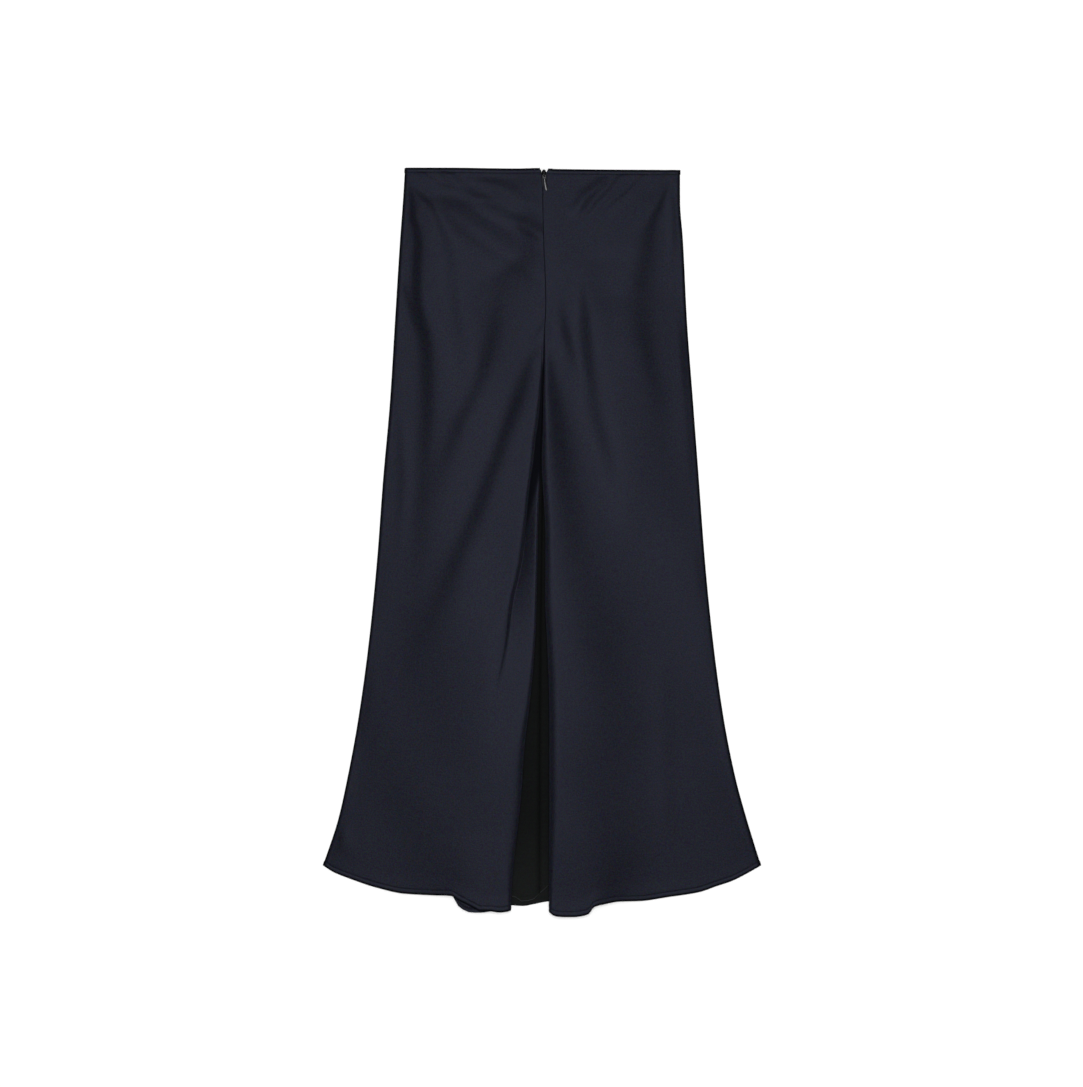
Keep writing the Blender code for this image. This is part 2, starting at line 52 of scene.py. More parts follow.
# ---------------------------------------------------------------- sizes, in millimetres
WAIST_ABOVE_ORIGIN = 467.45
SATIN = 0.42                    # the cloth's thickness
ZIP_END = 212.0
FRONT_MID = 0.25
UNDERLAY_MID = 1.6
FOLD_RADIUS = 1.15
RETURN_MID = UNDERLAY_MID + 2 * FOLD_RADIUS
OVER_RETURN = RETURN_MID + 0.9
ZIP_LIP = 0.55                  # radius of the folded edges beside the zip
ZIP_ALLOWANCE = 8.0             # cloth turned under along the zip
TAPE_STEP = {"left": (0.0, 38.0), "right": (4.0, 92.0)}     # beside the zip the cloth rises between these
TAPE_STEP_LOW = {"left": 110.0, "right": 92.0}              # and near the zip's end from here
TAPE_STEP_FADE = (105.0, 60.0)  # the change to it: where it starts, how long it is
TAPE_RISE = 2.6
TAPE_RISE_AT_WAIST = 0.55       # share of it at the waist, whole at the end of the next
TAPE_RISE_FADE = (10.0, 110.0)
PLEAT_RISE = 90.0
PLEAT_OPENS = 196.0             # its rolled edges begin to open here
AIR_UNDER_TOP = 0.25
CALM_EDGE = 14                  # folds fade out over this part (one in so many) beside the side seam
SHADE_ENDS = (425.0, 376.0)     # where the painted shade under the second fold ends: at the fold, at the edge
SHADE_FADES = (70, 26)          # and how far it takes to fade there
# painted shade under the second fold: where it starts, how far it fades in, and how strong it is
SHADE_STARTS = (236, 20)
PAINTED_SHADE_UNDER_FOLD = 0.85
ROLL_FULLNESS = (0.6, 0.25)     # half the height of a rolled edge: first + second x its width
HEM_LIFT = {"front": 0.75, "underlay": 0.6, "top": 0.25, "over_fold": 0.5}
HEM_LIFT_REACH = 24.0
PANEL_WIDTH = 190.0
PAINTED_RIM_SHADE = (1.0, 0.5)               # painted shade on the cloth's outer rim, and on the row beside it
SIDE_ROUND = 1.7                # the side seams' rounding
HEM_TURN = 6                    # rows of cloth turned under, EDGE_ROW apart
EDGE_ROW = 0.95
EDGE_ROWS = 10                  # close rows beside each edge
HEM_FOLD = 0.38                 # radius of the hem's fold
STITCH_ROW = 6                  # rows from the hem to its stitching
WAIST_STITCH_ROW = 5
STITCH_PITCH = 2.7
STITCH_SIZE = (1.9, 0.34, 0.2)  # length, width, height

# The zip. Places are (x, down, height); the pull is drawn lying flat, hinge at the origin.
TAPE_ENDS = (4.5, 208.0)
TAPE_HALF = 12.0
TAPE_MID = 1.7
TAPE_THICK = 0.8
COIL_PITCH = 1.3
SLIDER_AT = (2.2, 1.8)
SLIDER_SIZE = (5.2, 10.5)       # width, length
SLIDER_FLOOR = 2.4
SLIDER_LEVELS = (               # height and scale of the outline: two plates with a slot between
    (0, 0.86), (0.12, 0.97), (0.45, 1.0), (0.75, 0.98), (0.8, 0.8),
    (1.15, 0.8), (1.2, 0.98), (1.6, 1.0), (1.88, 0.96), (2.0, 0.85),
)
HINGE_AT = (2.2, 8.2, 5.35)
BAIL_WIRE = 0.4
BAIL_RADIUS = 1.45
PULL_THICK = 0.9
PULL_TURN = (math.radians(11), math.radians(3.4))      # askew on the cloth, and tip down
EYE_OUTSIDE = (4.6, 5.8, -2.5)  # width, length, middle
EYE_HOLE = (2.2, 3.0, -2.1)
DROP = {"from": 4.7, "widens_over": 11, "neck": 0.95, "wide": 2.15, "round_from": 17.93, "end": 20.4}
DROP_EVEN = (17.0, 15)          # rings evenly down to here, and how many
DROP_TIP = (0.8, 0.6, 0.42, 0.26, 0.13, 0.05, 0.01)     # then at these parts of the rest
DROP_SECTION = (                # across and up, as shares of the drop's half width and height
    (-1.0, 0.0), (-0.94, 0.62), (-0.8, 0.92), (-0.45, 1.0), (-0.1, 0.98), (0.1, 0.84), (0.4, 0.42),
    (0.75, -0.12), (0.97, -0.5), (0.97, -0.75), (0.8, -1.0), (0.0, -1.0), (-0.8, -1.0), (-0.96, -0.6),
)

SATIN_DARK = (0.0052, 0.0055, 0.0086)
SATIN_LIGHT = (0.0068, 0.0072, 0.0110)
SHINE_TINT = (0.62, 0.67, 1.0)
SATIN_SHINE = 0.05
GLOSS = (0.27, 0.35)            # roughness
NOISE_RANGE = (0.3, 0.7)        # where most of a noise's values lie
STREAKS = (60, 700, 300)        # how fine the streaks are, turned to the grain
STREAK_BUMP = (0.25, 0.00012)   # strength, height in metres
CLOUDS, CLOUD_SHARE = 14.0, 0.25
WEAVE = {"scale": 600, "bump": (0.12, 0.00006)}
GRAIN = {"scale": 620.0, "strength": 1.0, "share_inside": 0.3, "bump": (0.6, 0.00021)}    # fine slub
INSIDE_PAINTED_SHADE = (0.84, 1.3)      # painted shade inside the pleat: how light its colour is above, and at the hem, where it lightens as painted light
INSIDE_LIGHTENS = (-0.33, -0.452)       # between these places, in metres up from the origin
# the pleat's inside is rougher and less shiny, a shaded copy of the satin
INSIDE_DULLER, INSIDE_SHINE = 0.2, 0.004
# colour and roughness of the painted shade on the rim, in the zip's slit and under the second fold
PAINTED_SHADE_COLOUR, PAINTED_SHADE_ROUGHNESS = (0.0012, 0.0013, 0.0017), 0.9
# painted highlight along the underlay's hem edge
HEM_PAINTED_HIGHLIGHT = (0.030, 0.033, 0.035)
# the pleat's inside: a greyed copy of the satin's colours, for cloth in painted shade
INSIDE_COLOURS = ((0.0055, 0.0061, 0.0058), (0.0072, 0.0078, 0.0076))
THREAD_COLOURS = ((0.0025, 0.003, 0.004), (0.006, 0.007, 0.010))
TAPE_COLOURS = ((0.004, 0.005, 0.009), (0.009, 0.010, 0.017))
ZIP_STEEL, ZIP_BLACK = (0.028, 0.05), (0.002, 0.005)    # greys of the pull and of the slider
METAL_BLUE, METAL_GLOSS = 1.05, (0.18, 0.34)
FLOOR_COLOUR = (0.97, 0.97, 0.97)

SIGN = {"left": -1, "right": 1}         # from the centre back towards the side seam
GRAIN_ANGLE = {"left": -45, "right": 45}    # cut on the bias, in degrees

# Camera, floor and lights, in metres and watts.
LENS, SENSOR = 85, 36                   # millimetres
PHOTO_HEIGHT = 1.35875                  # what the photo shows, top to bottom
CAMERA_OVER = (-0.00075, -0.00193, 0.005)
FLOOR_SIZE = 12
FRONT_LIGHT = {"location": (0.0, 0.12, 3.5), "aim": (0, 0.04, 0), "size": (1.24, 2.5), "power": 97}
LOW_LIGHTS = (("left", -2.7, 0.0), ("right", 2.7, 0.0), ("head", 0.0, 2.7), ("foot", 0.0, -2.7))
LOW_LIGHT = {"height": 1.1, "size": (2.4, 1.0), "power": 16}
WORLD_STRENGTH = 0.2


def table(columns, *rows):
    """A small table: each named column becomes an array of its values."""
    return {name: np.array(values, float) for name, values in zip(columns.split(), zip(*rows))}


SIDE_SEAMS = table(
    "down left right",
    (0, -171.4, 172.4), (40, -173.9, 172.5), (90, -177.6, 176.1), (190, -183.9, 181.1),
    (290, -190.1, 188.6), (390, -198.9, 196.1), (490, -206.4, 203.6), (590, -216.4, 213.6),
    (690, -230.1, 227.4), (765, -243.9, 242.4), (815, -255.1, 256.1), (872, -273.9, 273.6),
)

# The pleat's flaps. "edge" is the flap's edge, counted from the centre line towards the
# side seam (negative where the right flap lies across it). "roll" is how wide the edge
# rolls over, "stand" how far it stands up there and "bell" how far that reaches. Above
# the pleat the edges lie along the zip and spread a little at its slider. The left flap
# also has a second fold: from its "ridge" it rounds over to "fold_edge", drops by "groove"
# and comes out again to the flap's edge, which stands "below" the ridge.
LEFT_FLAP = table(
    "down ridge fold_edge edge roll stand bell groove below",
    (0, -9, -3, 5.5, 0.4, 0, 30, 0, 0), (5, -9, -3, 3.1, 0.4, 0, 30, 0, 0),
    (14, -8, -2.5, 3.1, 0.4, 0, 30, 0, 0), (26, -6, -1.5, 0.15, 0.4, 0, 30, 0, 0),
    (110, -3, 0.3, 0.15, 0.4, 0, 30, 0, 0), (175, -1, 2, 0.15, 0.4, 0, 30, 0, 0),
    (199, -1.5, 1, 0.15, 0.4, 0, 30, 0, 0), (214, -2.4, 0.2, 0.3, 0.5, 0, 30, 0, 0),
    (232, -3.2, 0, 0.4, 0.6, 0.2, 30, 0.3, 0.3), (252, -4.6, -0.4, 0.5, 0.7, 0.3, 30, 1, 1),
    (271, -6.4, -1.4, 1, 0.8, 0.4, 30, 2.2, 2.2), (290, -8.8, -2.2, 1.2, 0.9, 0.6, 30, 3.4, 3.4),
    (315, -13, -4.2, 1.8, 1.1, 0.8, 30, 4.4, 4.4), (340, -16.4, -7.6, 2.6, 1.5, 0.8, 30, 4.8, 4.8),
    (365, -18, -10.2, 3, 1.9, 0.8, 30, 5, 5), (378, -19.2, -12.2, 3.1, 2.1, 0.8, 30, 4.6, 4.3),
    (390, -20.4, -14, 3.2, 2.3, 0.8, 30, 4.2, 3.2), (402, -22.2, -15.6, 3.6, 2.5, 0.8, 30, 4.1, 2.6),
    (415, -24.8, -17, 4, 2.7, 0.8, 31, 4, 2.1), (440, -29, -19.2, 4.7, 2.8, 0.8, 32, 3.9, 1.5),
    (490, -38, -25.6, 5, 3, 0.8, 34, 3.6, 0.9), (515, -42, -31.2, 5.2, 3, 0.8, 38, 3, 0.7),
    (540, -46.5, -37.5, 5.5, 3, 0.8, 44, 2.4, 0.5), (565, -53.5, -41, 5.8, 3.1, 0.8, 50, 1.7, 0.3),
    (590, -61, -43.5, 6.8, 3.3, 0.8, 60, 1, 0.1), (615, -66, -48, 8.1, 3.8, 0.8, 70, 0.6, 0),
    (640, -70, -54, 10, 4.8, 0.8, 76, 0.25, 0), (665, -74, -60, 12.3, 6, 0.8, 80, 0, 0),
    (727, -80, -68, 19.3, 12, 0.8, 80, 0, 0), (790, -84, -72, 23.8, 17, 0.8, 80, 0, 0),
    (840, -86, -74, 29.4, 18, 0.8, 80, 0, 0), (890, -88, -76, 34.5, 9, 0.8, 80, 0, 0),
    (928, -90, -78, 36.3, 5, 0.8, 80, 0, 0),
)
RIGHT_FLAP = table(
    "down trough edge roll stand bell",
    (0, 22, 6.1, 0.4, 0, 20), (5, 20, 3.9, 0.4, 0, 20), (14, 18, 3.6, 0.4, 0, 20),
    (26, 16, 0.15, 0.4, 0, 20), (110, 15, 0.15, 0.4, 0, 20), (175, 14, 0.15, 0.4, 0, 20),
    (199, 12, 0.15, 0.5, 0, 16), (214, 11, 0.25, 1, 0.3, 12), (232, 11.5, 0.3, 1.8, 0.9, 9),
    (252, 12.5, 0.2, 2.6, 1.4, 9), (265, 13.5, 0, 3.1, 1.54, 10), (290, 15.5, -0.4, 4.3, 1.8, 12),
    (315, 17.5, -0.4, 5.3, 1.85, 15), (340, 20, -0.8, 7, 1.9, 17), (365, 22.5, -1.3, 8.6, 1.75, 19),
    (390, 25.5, -0.4, 8.8, 1.6, 21), (415, 28, 1.5, 9, 1.4, 23), (465, 31, 4.2, 9, 1.1, 28),
    (540, 38, 4.8, 10.5, 0.9, 36), (590, 42, 7.6, 11.5, 0.9, 42), (640, 44, 10.1, 12, 0.9, 48),
    (690, 46, 11.2, 12, 0.9, 52), (790, 51, 11.2, 12, 0.9, 52), (850, 54, 11.2, 8.5, 0.9, 52),
    (928, 58, 11.2, 4.5, 0.9, 52),
)
FLAPS = {"left": LEFT_FLAP, "right": RIGHT_FLAP}

INNER_FOLDS = table("down left right", (ZIP_END, -2.4, 3), (928, -113.4, 66))

# Where the top layer comes down from the pleat beneath it, and how wide that slope is.
STEPS = {
    "left": table(
        "down line width",
        (206, 0, 3), (216, -2.6, 4), (228, -7.6, 6), (240, -14, 8), (265, -22, 10), (290, -30.7, 11),
        (315, -40.3, 11), (340, -49.2, 11), (365, -57.2, 11.5), (390, -67.2, 12), (415, -75.7, 12),
        (440, -85.2, 13), (465, -96.6, 14), (490, -107.5, 16), (515, -116, 19), (540, -127, 25),
        (565, -135, 34), (590, -137, 46), (640, -132, 78), (700, -128, 84), (800, -126, 95),
        (930, -124, 98),
    ),
    "right": table(
        "down line width",
        (206, 4, 4), (232, 8.5, 10.5), (252, 12, 15), (280, 17, 19.5), (315, 22, 23), (352, 27, 26),
        (390, 32, 26), (440, 40, 29), (490, 51, 33), (540, 63, 37), (600, 74, 42), (700, 90, 48),
        (800, 97, 54), (850, 97, 48), (890, 86, 30), (930, 79, 24),
    ),
}
STEP_START = (196.0, 240.0)

CENTRE_BACK = table(
    "down x",
    (0, 2.2), (14, 2.2), (26, 0.75), (55, 1.1), (104, 2.35), (139, 3.95), (175, 4.45), (212, 2.5),
    (300, 1.5), (400, 0.5), (700, -2.6), (928, -2.6),
)

LOFT = table(
    "down high",
    (0, 0), (100, 0.8), (212, 1.2), (320, 2), (440, 2.4), (600, 2.6), (928, 2.8),
)

WAIST_BACK = table(
    "x down",
    (-172, -0.5), (-115, -0.4), (-30, 0.6), (-5, 0.2), (7, 0.3), (16, 1.4), (72, 1.9), (172, 2.4),
)
WAIST_FRONT = table("x down", (-172, 0), (-110, 5), (0, 10), (110, 6), (172, 2.4))

HEMS = {
    "left_top": table(
        "x down",
        (-273.9, 872), (-261.4, 880), (-241.4, 888.1), (-207.6, 899.4), (-172.6, 906.9),
        (-140.1, 908.6), (-115.1, 909.3), (-105.8, 914.5), (-93.3, 920.6), (-84.9, 924.9),
        (-77.4, 928.3), (-64.8, 928.4), (-53.1, 929.9), (-41, 928.3),
    ),
    "left_return": table(
        "x down",
        (-113.4, 910.6), (-110, 916.5), (-104.1, 923.3), (-100, 926), (-89.9, 930), (-76.5, 930.4),
        (-60, 928), (-41, 927),
    ),
    "left_underlay": table(
        "x down",
        (-113.4, 910.6), (-75, 911), (-37.6, 910), (-30.1, 914.4), (-25.1, 916.9), (-12.6, 915),
        (-2.6, 906.2),
    ),
    "right_top": table(
        "x down",
        (8.5, 929.9), (12.3, 932.4), (17.3, 934.4), (27.3, 935.4), (40.6, 935.4), (49, 934.4),
        (55.8, 932.7), (59.1, 931.1), (61.6, 927), (64.9, 923.3), (77.5, 919.9), (97.6, 916.6),
        (122.4, 916.1), (157.4, 911.3), (197.4, 905), (217.4, 898.1), (237.4, 891.3), (257.4, 881.3),
        (273.6, 872),
    ),
    "right_return": table("x down", (8.5, 929), (30, 929), (50, 925), (66, 917)),
    "right_underlay": table(
        "x down",
        (-2.6, 906.2), (1.1, 903.8), (7.4, 896.9), (22, 894), (45, 905), (66, 917),
    ),
    "front": table(
        "x down",
        (-273.9, 872), (-227.6, 890), (-172.6, 903), (-123.9, 906.9), (-77.6, 915), (-38.9, 921.6),
        (-22.6, 922.5), (-12.6, 920.7), (7.4, 916.9), (41.1, 915.6), (77.4, 914.4), (122.4, 911.3),
        (177.4, 903.8), (227.4, 890), (273.6, 872),
    ),
}

# Folds of the top layer, placed and named for the reader. Down the skirt the cloth stands "high" between x =
# "from" and x = "to"; "rise" and "fall" are how wide its two slopes are.
OPEN = 400


def fold(name, *rows):
    return table("down from rise to fall high", *rows)


LEFT_FOLDS = (
    fold(
        "side fold and hip fold",
        (20, -167, 3, -166, 3, 0), (34, -164, 4, -151, 4, 1.1), (44, -162, 4.5, -140.5, 4.5, 1.5),
        (59, -162, 4.8, -132, 6.5, 1.9), (77, -157.5, 6, -125, 9.5, 2.2), (96, -155, 7, -119, 12, 2.4),
        (115, -156.4, 7, -114.5, 13, 2.5), (140, -157, 7, -112, 14, 2.5),
        (165, -156.4, 7.2, -109, 14, 2.7), (190, -151.4, 8.5, -106, 15, 2.9),
        (215, -146, 10, -101.5, 18, 3.1), (252, -144, 12, -97, 24, 3.1), (285, -144, 12, -90, 32, 2.9),
        (315, -144.5, 12, -88, 36, 2.6), (345, -146.5, 12, -88, 40, 2.2), (385, -148, 14, -90, 44, 1.7),
        (440, -152, 16, -95, 48, 1.2), (520, -158, 18, -100, 50, 0.8), (590, -164, 20, -105, 50, 0.4),
        (640, -170, 22, -110, 50, 0),
    ),
    fold(
        "left edge fold",
        (300, -180, 6, -172, 8, 0), (340, -178, 6, -168, 8, 0.5), (390, -176, 6, -166, 8, 0.6),
        (440, -180, 6, -170, 8, 0.4), (500, -184, 6, -174, 8, 0),
    ),
    fold(
        "middle fold",
        (120, -48, 12, OPEN, 9, 0), (150, -52, 13, OPEN, 9, 0.6), (175, -56, 13, OPEN, 9, 1.2),
        (190, -58, 13, OPEN, 9, 1.6), (215, -64, 13, OPEN, 9, 2.1), (240, -71, 13, OPEN, 9, 2.6),
        (265, -79, 13, OPEN, 9, 2.9), (290, -89, 13, OPEN, 9, 3), (315, -101, 12.5, OPEN, 9, 2.8),
        (340, -111, 13, OPEN, 9, 2.5), (365, -121, 15, OPEN, 9, 2.1), (400, -131, 22, OPEN, 9, 1.7),
        (440, -142, 34, OPEN, 9, 1.4), (520, -155, 55, OPEN, 9, 1.1), (700, -160, 70, OPEN, 9, 0.5),
        (900, -165, 80, OPEN, 9, 0),
    ),
    fold(
        "flap's foot, fading",
        (490, -112, 9, -60, 30, 0), (540, -129, 9, -76, 34, 0.25), (590, -151, 10, -90, 38, 0.3),
        (640, -172, 11, -100, 44, 0.25), (690, -192, 12, -110, 50, 0),
    ),
    fold(
        "second fold, fading",
        (540, -130, 70, -40, 10, 0), (570, -132, 70, -45, 12, 0.6), (600, -135, 70, -49, 14, 1.3),
        (650, -140, 70, -49, 21, 2.5), (700, -145, 70, -48, 28, 2.5), (760, -150, 70, -48, 34, 1.4),
        (830, -160, 70, -50, 40, 0),
    ),
    fold(
        "nick at the zip's end",
        (186, 3, 3, 12, 5, 0), (196, 1, 3, 9, 5, 0.5), (206, -5, 3.5, 3, 5, 0.6),
        (216, -11, 4, -3, 6, 0.35), (228, -17, 5, -8, 7, 0),
    ),
    fold(
        "left edge drag",
        (140, -176, 4, -150, 14, 0), (152, -172, 4.5, -146, 14, 0.7), (180, -163, 5, -138, 14, 0.8),
        (209, -153, 6, -128, 14, 0.4), (228, -146, 7, -120, 14, 0),
    ),
    fold(
        "waist drag, corner",
        (2, -160, 3, -152, 4, 0), (8, -155, 3, -146, 4, 0.8), (16, -144.5, 3, -136, 4, 0.6),
        (22, -137, 3, -129, 4, 0),
    ),
    fold(
        "waist drag, left",
        (2, -131, 3.5, -118, 6, 0), (8, -125, 3.5, -112, 6, 1), (19, -113, 3.5, -100, 6, 0.9),
        (27, -104, 4, -92, 6, 0),
    ),
    fold(
        "waist drag, crossing",
        (21, -142, 3.5, -116, 8, 0), (24, -131, 3.5, -105, 8, 0.7), (28, -114, 3.5, -88, 8, 1.1),
        (35, -98, 3.5, -75, 8, 1), (43, -82, 4, -60, 8, 0),
    ),
    fold(
        "waist drag, middle",
        (12, -92, 6, -60, 10, 0), (19, -78, 6.5, -46, 10, 1.2), (25, -66, 6.5, -36, 10, 1.4),
        (35, -52.6, 6.5, -24, 10, 1.3), (44, -42.6, 6, -14, 10, 0.9), (54, -32, 5, -6, 10, 0),
    ),
    fold(
        "yoke drag, upper",
        (32, -100, 5, -72, 12, 0), (42, -88, 5, -60, 12, 0.9), (59, -65, 5, -40, 12, 1.2),
        (71, -42, 5, -18, 12, 1.2), (82, -20, 5, 5, 12, 1), (94, -2, 5, 22, 12, 0),
    ),
    fold(
        "yoke drag, middle",
        (58, -46, 4, -20, 8, 0), (70, -31, 4, -8, 8, 0.6), (90, -2, 5, 20, 8, 0.8),
        (106, 16, 5, 40, 8, 0),
    ),
    fold(
        "yoke drag, lower",
        (36, -142, 8, -92, 20, 0), (60, -120, 11, -76, 24, 2.3), (75, -104, 12, -60, 24, 3.1),
        (94, -80, 13, -36, 24, 3.3), (111, -56, 13, -14, 24, 3.1), (127, -31, 12, 7, 20, 2.4),
        (146, -5, 11, 24, 18, 1.3), (164, 12, 10, 42, 16, 0),
    ),
    fold(
        "faint cross crease",
        (764, -160, 1.2, -150, 1.2, 0), (770, -130, 1.2, -105, 1.2, 0.12), (777, -80, 1.2, -60, 1.2, 0),
    ),
    fold(
        "hem corner",
        (815, -262, 4, -250, 9, 0), (835, -255, 4, -240, 9, 0.5), (862, -250, 4, -234, 9, 0),
    ),
    fold(
        "soft hem swell",
        (800, -112, 16, -74, 20, 0), (850, -110, 15, -72, 18, 0.25), (905, -108, 14, -70, 16, 0.5),
    ),
)
RIGHT_FOLDS = (
    fold(
        "ridge below the zip",
        (150, 2, 12, 22, 6, 0), (176, 4, 12, 24.5, 6.5, 0.6), (196, 7, 12, 27.5, 7, 1.4),
        (213, 10, 11, 32, 8, 1.7), (232, 12, 11, 37.5, 9, 1.6), (250, 13, 12, 44, 11, 1.5),
        (270, 14, 13, 52, 14, 1.2), (300, 16, 14, 64, 18, 0.8), (340, 20, 16, 76, 26, 0),
    ),
    fold(
        "middle fold",
        (116, 48, 6, 122, 20, 0), (142, 50, 7.5, 122, 22, 1.3), (165, 52, 10.5, 118, 40, 3.1),
        (202, 54.5, 13, 112, 66, 4.9), (227, 56, 14.5, 112, 82, 5.4), (255, 59, 15.5, 112, 90, 5.4),
        (290, 63.5, 16.5, 112, 94, 5.1), (315, 69, 16.5, 114, 96, 4.7), (340, 76, 16, 118, 96, 4.3),
        (365, 83, 16, 122, 96, 3.6), (390, 88, 16, 126, 96, 2.8), (415, 92, 16, 134, 90, 1.9),
        (440, 96, 16, 142, 80, 1), (475, 101, 18, 150, 60, 0),
    ),
    fold(
        "side fold, lower",
        (160, 80, 50, 123, 17, 0), (190, 80, 50, 124, 17, 2), (215, 80, 50, 128.5, 16, 2.6),
        (252, 84, 50, 136, 15, 2), (290, 90, 50, 146, 17, 1.4), (327, 96, 50, 149, 18, 0.7),
        (365, 100, 50, 152, 20, 0.25), (400, 104, 50, 154, 22, 0),
    ),
    fold(
        "side fold",
        (16, 118, 44, 158, 3.5, 0), (28, 112, 44, 154.9, 4, 0.7), (40, 106, 44, 149.9, 4.7, 1.5),
        (52.5, 100, 44, 144.9, 6, 2), (67.5, 95, 44, 138, 9, 2.5), (84, 90, 44, 133.6, 14, 2.9),
        (102, 88, 44, 131, 17, 3.3), (118, 88, 44, 129, 18, 3.3), (142, 86, 44, 125, 18, 2.5),
        (165, 86, 44, 124, 18, 1.1), (202, 86, 44, 125, 18, 0),
    ),
    fold(
        "waist drag, first",
        (10, 72, 6, 86, 5, 0), (19, 64.5, 7, 79, 5, 1.1), (24, 60, 7, 74, 5, 1.5),
        (31, 51, 7, 66, 5, 1.6), (44, 42, 7, 55, 5, 1.5), (54, 37, 6, 49, 5, 0.9),
        (62, 32, 5, 44, 5, 0),
    ),
    fold(
        "waist drag, inner",
        (3, 102, 4, 114, 8, 0), (12.5, 93.6, 4, 106, 8, 0.9), (24, 85, 4, 97, 8, 1.1),
        (37.5, 72.4, 4, 85, 8, 1.2), (52.5, 60, 4, 72, 8, 1), (65, 50, 4, 62, 8, 0.6),
        (78, 40, 4, 52, 8, 0),
    ),
    fold(
        "waist drag, outer",
        (-4, 140, 2.6, 150, 7, 0), (6, 128.6, 2.6, 139, 7, 0.6), (17.5, 116, 2.6, 127, 7, 0.7),
        (31, 103.6, 2.6, 114, 7, 0.8), (44, 87.4, 2.8, 98, 7, 0.8), (59, 72.4, 3, 83, 7, 0.7),
        (77, 60, 3, 70, 7, 0.5), (94, 46, 3, 56, 7, 0),
    ),
    fold(
        "waist drag, corner",
        (1, 151, 2.5, 158, 4, 0), (5, 147.4, 2.5, 155, 4, 0.6), (17.5, 137.4, 2.5, 145, 4, 0.5),
        (26, 130, 2.5, 138, 4, 0),
    ),
    fold(
        "side seam nick",
        (30, 157, 2, 163, 3, 0), (46, 158, 2.2, 165, 3, 0.4), (80, 158.5, 2.2, 166, 3, 0.4),
        (100, 157, 2.2, 165, 3, 0.2), (120, 156, 2.2, 164, 3, 0),
    ),
    fold(
        "swell over the inner fold",
        (330, -OPEN, 40, 100, 60, 0), (400, -OPEN, 40, 100, 60, 1.8), (500, -OPEN, 40, 96, 60, 2.8),
        (560, -OPEN, 40, 90, 58, 3.2), (640, -OPEN, 40, 88, 56, 3.5), (720, -OPEN, 40, 91, 58, 3.2),
        (800, -OPEN, 40, 95, 58, 2.4), (900, -OPEN, 40, 99, 58, 1.2),
    ),
    fold(
        "faint lower fold",
        (600, 140, 10, 156, 10, 0), (680, 142, 10, 158, 10, 0.3), (780, 144, 10, 160, 10, 0.3),
        (860, 150, 10, 166, 10, 0),
    ),
)
FOLDS = {"left": LEFT_FOLDS, "right": RIGHT_FOLDS}

# ---------------------------------------------------------------- grid sizes
ROW = 3.4
TOP_LINES = {"left": ("ridge", "fold_edge"), "right": ("trough",)}
TOP_COLUMNS = {"left": (80, 13, 9), "right": (80, 12)}
HIDDEN_COLUMNS = {
    "left": (("roll", 12), ("return", 10), ("inner_fold", 6), ("underlay", 14)),
    "right": (("roll", 12), ("return", 8), ("inner_fold", 6), ("underlay", 12)),
}
SEAM_COLUMNS = (0.15, 0.4, 0.8, 1.4, 2.4)       # close columns beside the side seam
FRONT_COLUMNS = 100
FRONT_ROW = 5.0


# ---------------------------------------------------------------- small mathematics
def along(tab, column, where, by="down"):
    """A column of the table between its rows: a smooth curve that never overshoots them."""
    x, y = tab[by], tab[column]
    step = np.diff(x)
    slope = np.diff(y) / step
    tangent = np.concatenate([slope[:1], np.zeros(len(x) - 2), slope[-1:]])
    for i in range(1, len(x) - 1):
        if slope[i - 1] * slope[i] > 0:
            w1, w2 = 2 * step[i] + step[i - 1], step[i] + 2 * step[i - 1]
            tangent[i] = (w1 + w2) / (w1 / slope[i - 1] + w2 / slope[i])
    at = np.clip(np.asarray(where, float), x[0], x[-1])
    i = np.clip(np.searchsorted(x, at, side="right") - 1, 0, len(x) - 2)
    t = (at - x[i]) / step[i]
    return (
        (1 + 2 * t) * (1 - t) ** 2 * y[i]
        + t * (1 - t) ** 2 * step[i] * tangent[i]
        + t * t * (3 - 2 * t) * y[i + 1]
        + t * t * (t - 1) * step[i] * tangent[i + 1]
    )


def smoothstep(t):
    t = np.clip(t, 0.0, 1.0)
    return t * t * (3 - 2 * t)


def mix(a, b, t):
    return a + (b - a) * t


def smooth_max(a, b, softness):
    return (a + b + np.sqrt((a - b) ** 2 + softness**2)) / 2


# ---------------------------------------------------------------- the cloth's form
def slope_past(tab, line, width, sign, x, down):
    """Rises softly from 0 to 1 across a line of the table, to its right (sign 1) or left (-1)."""
    lean = (along(tab, line, down + 4) - along(tab, line, down - 4)) / 8
    inward = sign * (x - along(tab, line, down)) / np.sqrt(1 + lean**2)
    return 0.5 + 0.5 * np.tanh(1.2 * inward / along(tab, width, down))


def fold_height(fold, x, down):
    """How far one fold lifts the cloth at each point."""
    rise = slope_past(fold, "from", "rise", 1, x, down)
    return along(fold, "high", down) * (rise - slope_past(fold, "to", "fall", 1, x, down))


def near_hem(side, layer, x, down):
    """Rises from 0 to 1 over the last stretch of cloth above a hem."""
    hem = HEMS["front"] if side == "front" else HEMS[f"{side}_{layer}"]
    return smoothstep(1 - (along(hem, "down", x, by="x") - down) / HEM_LIFT_REACH)


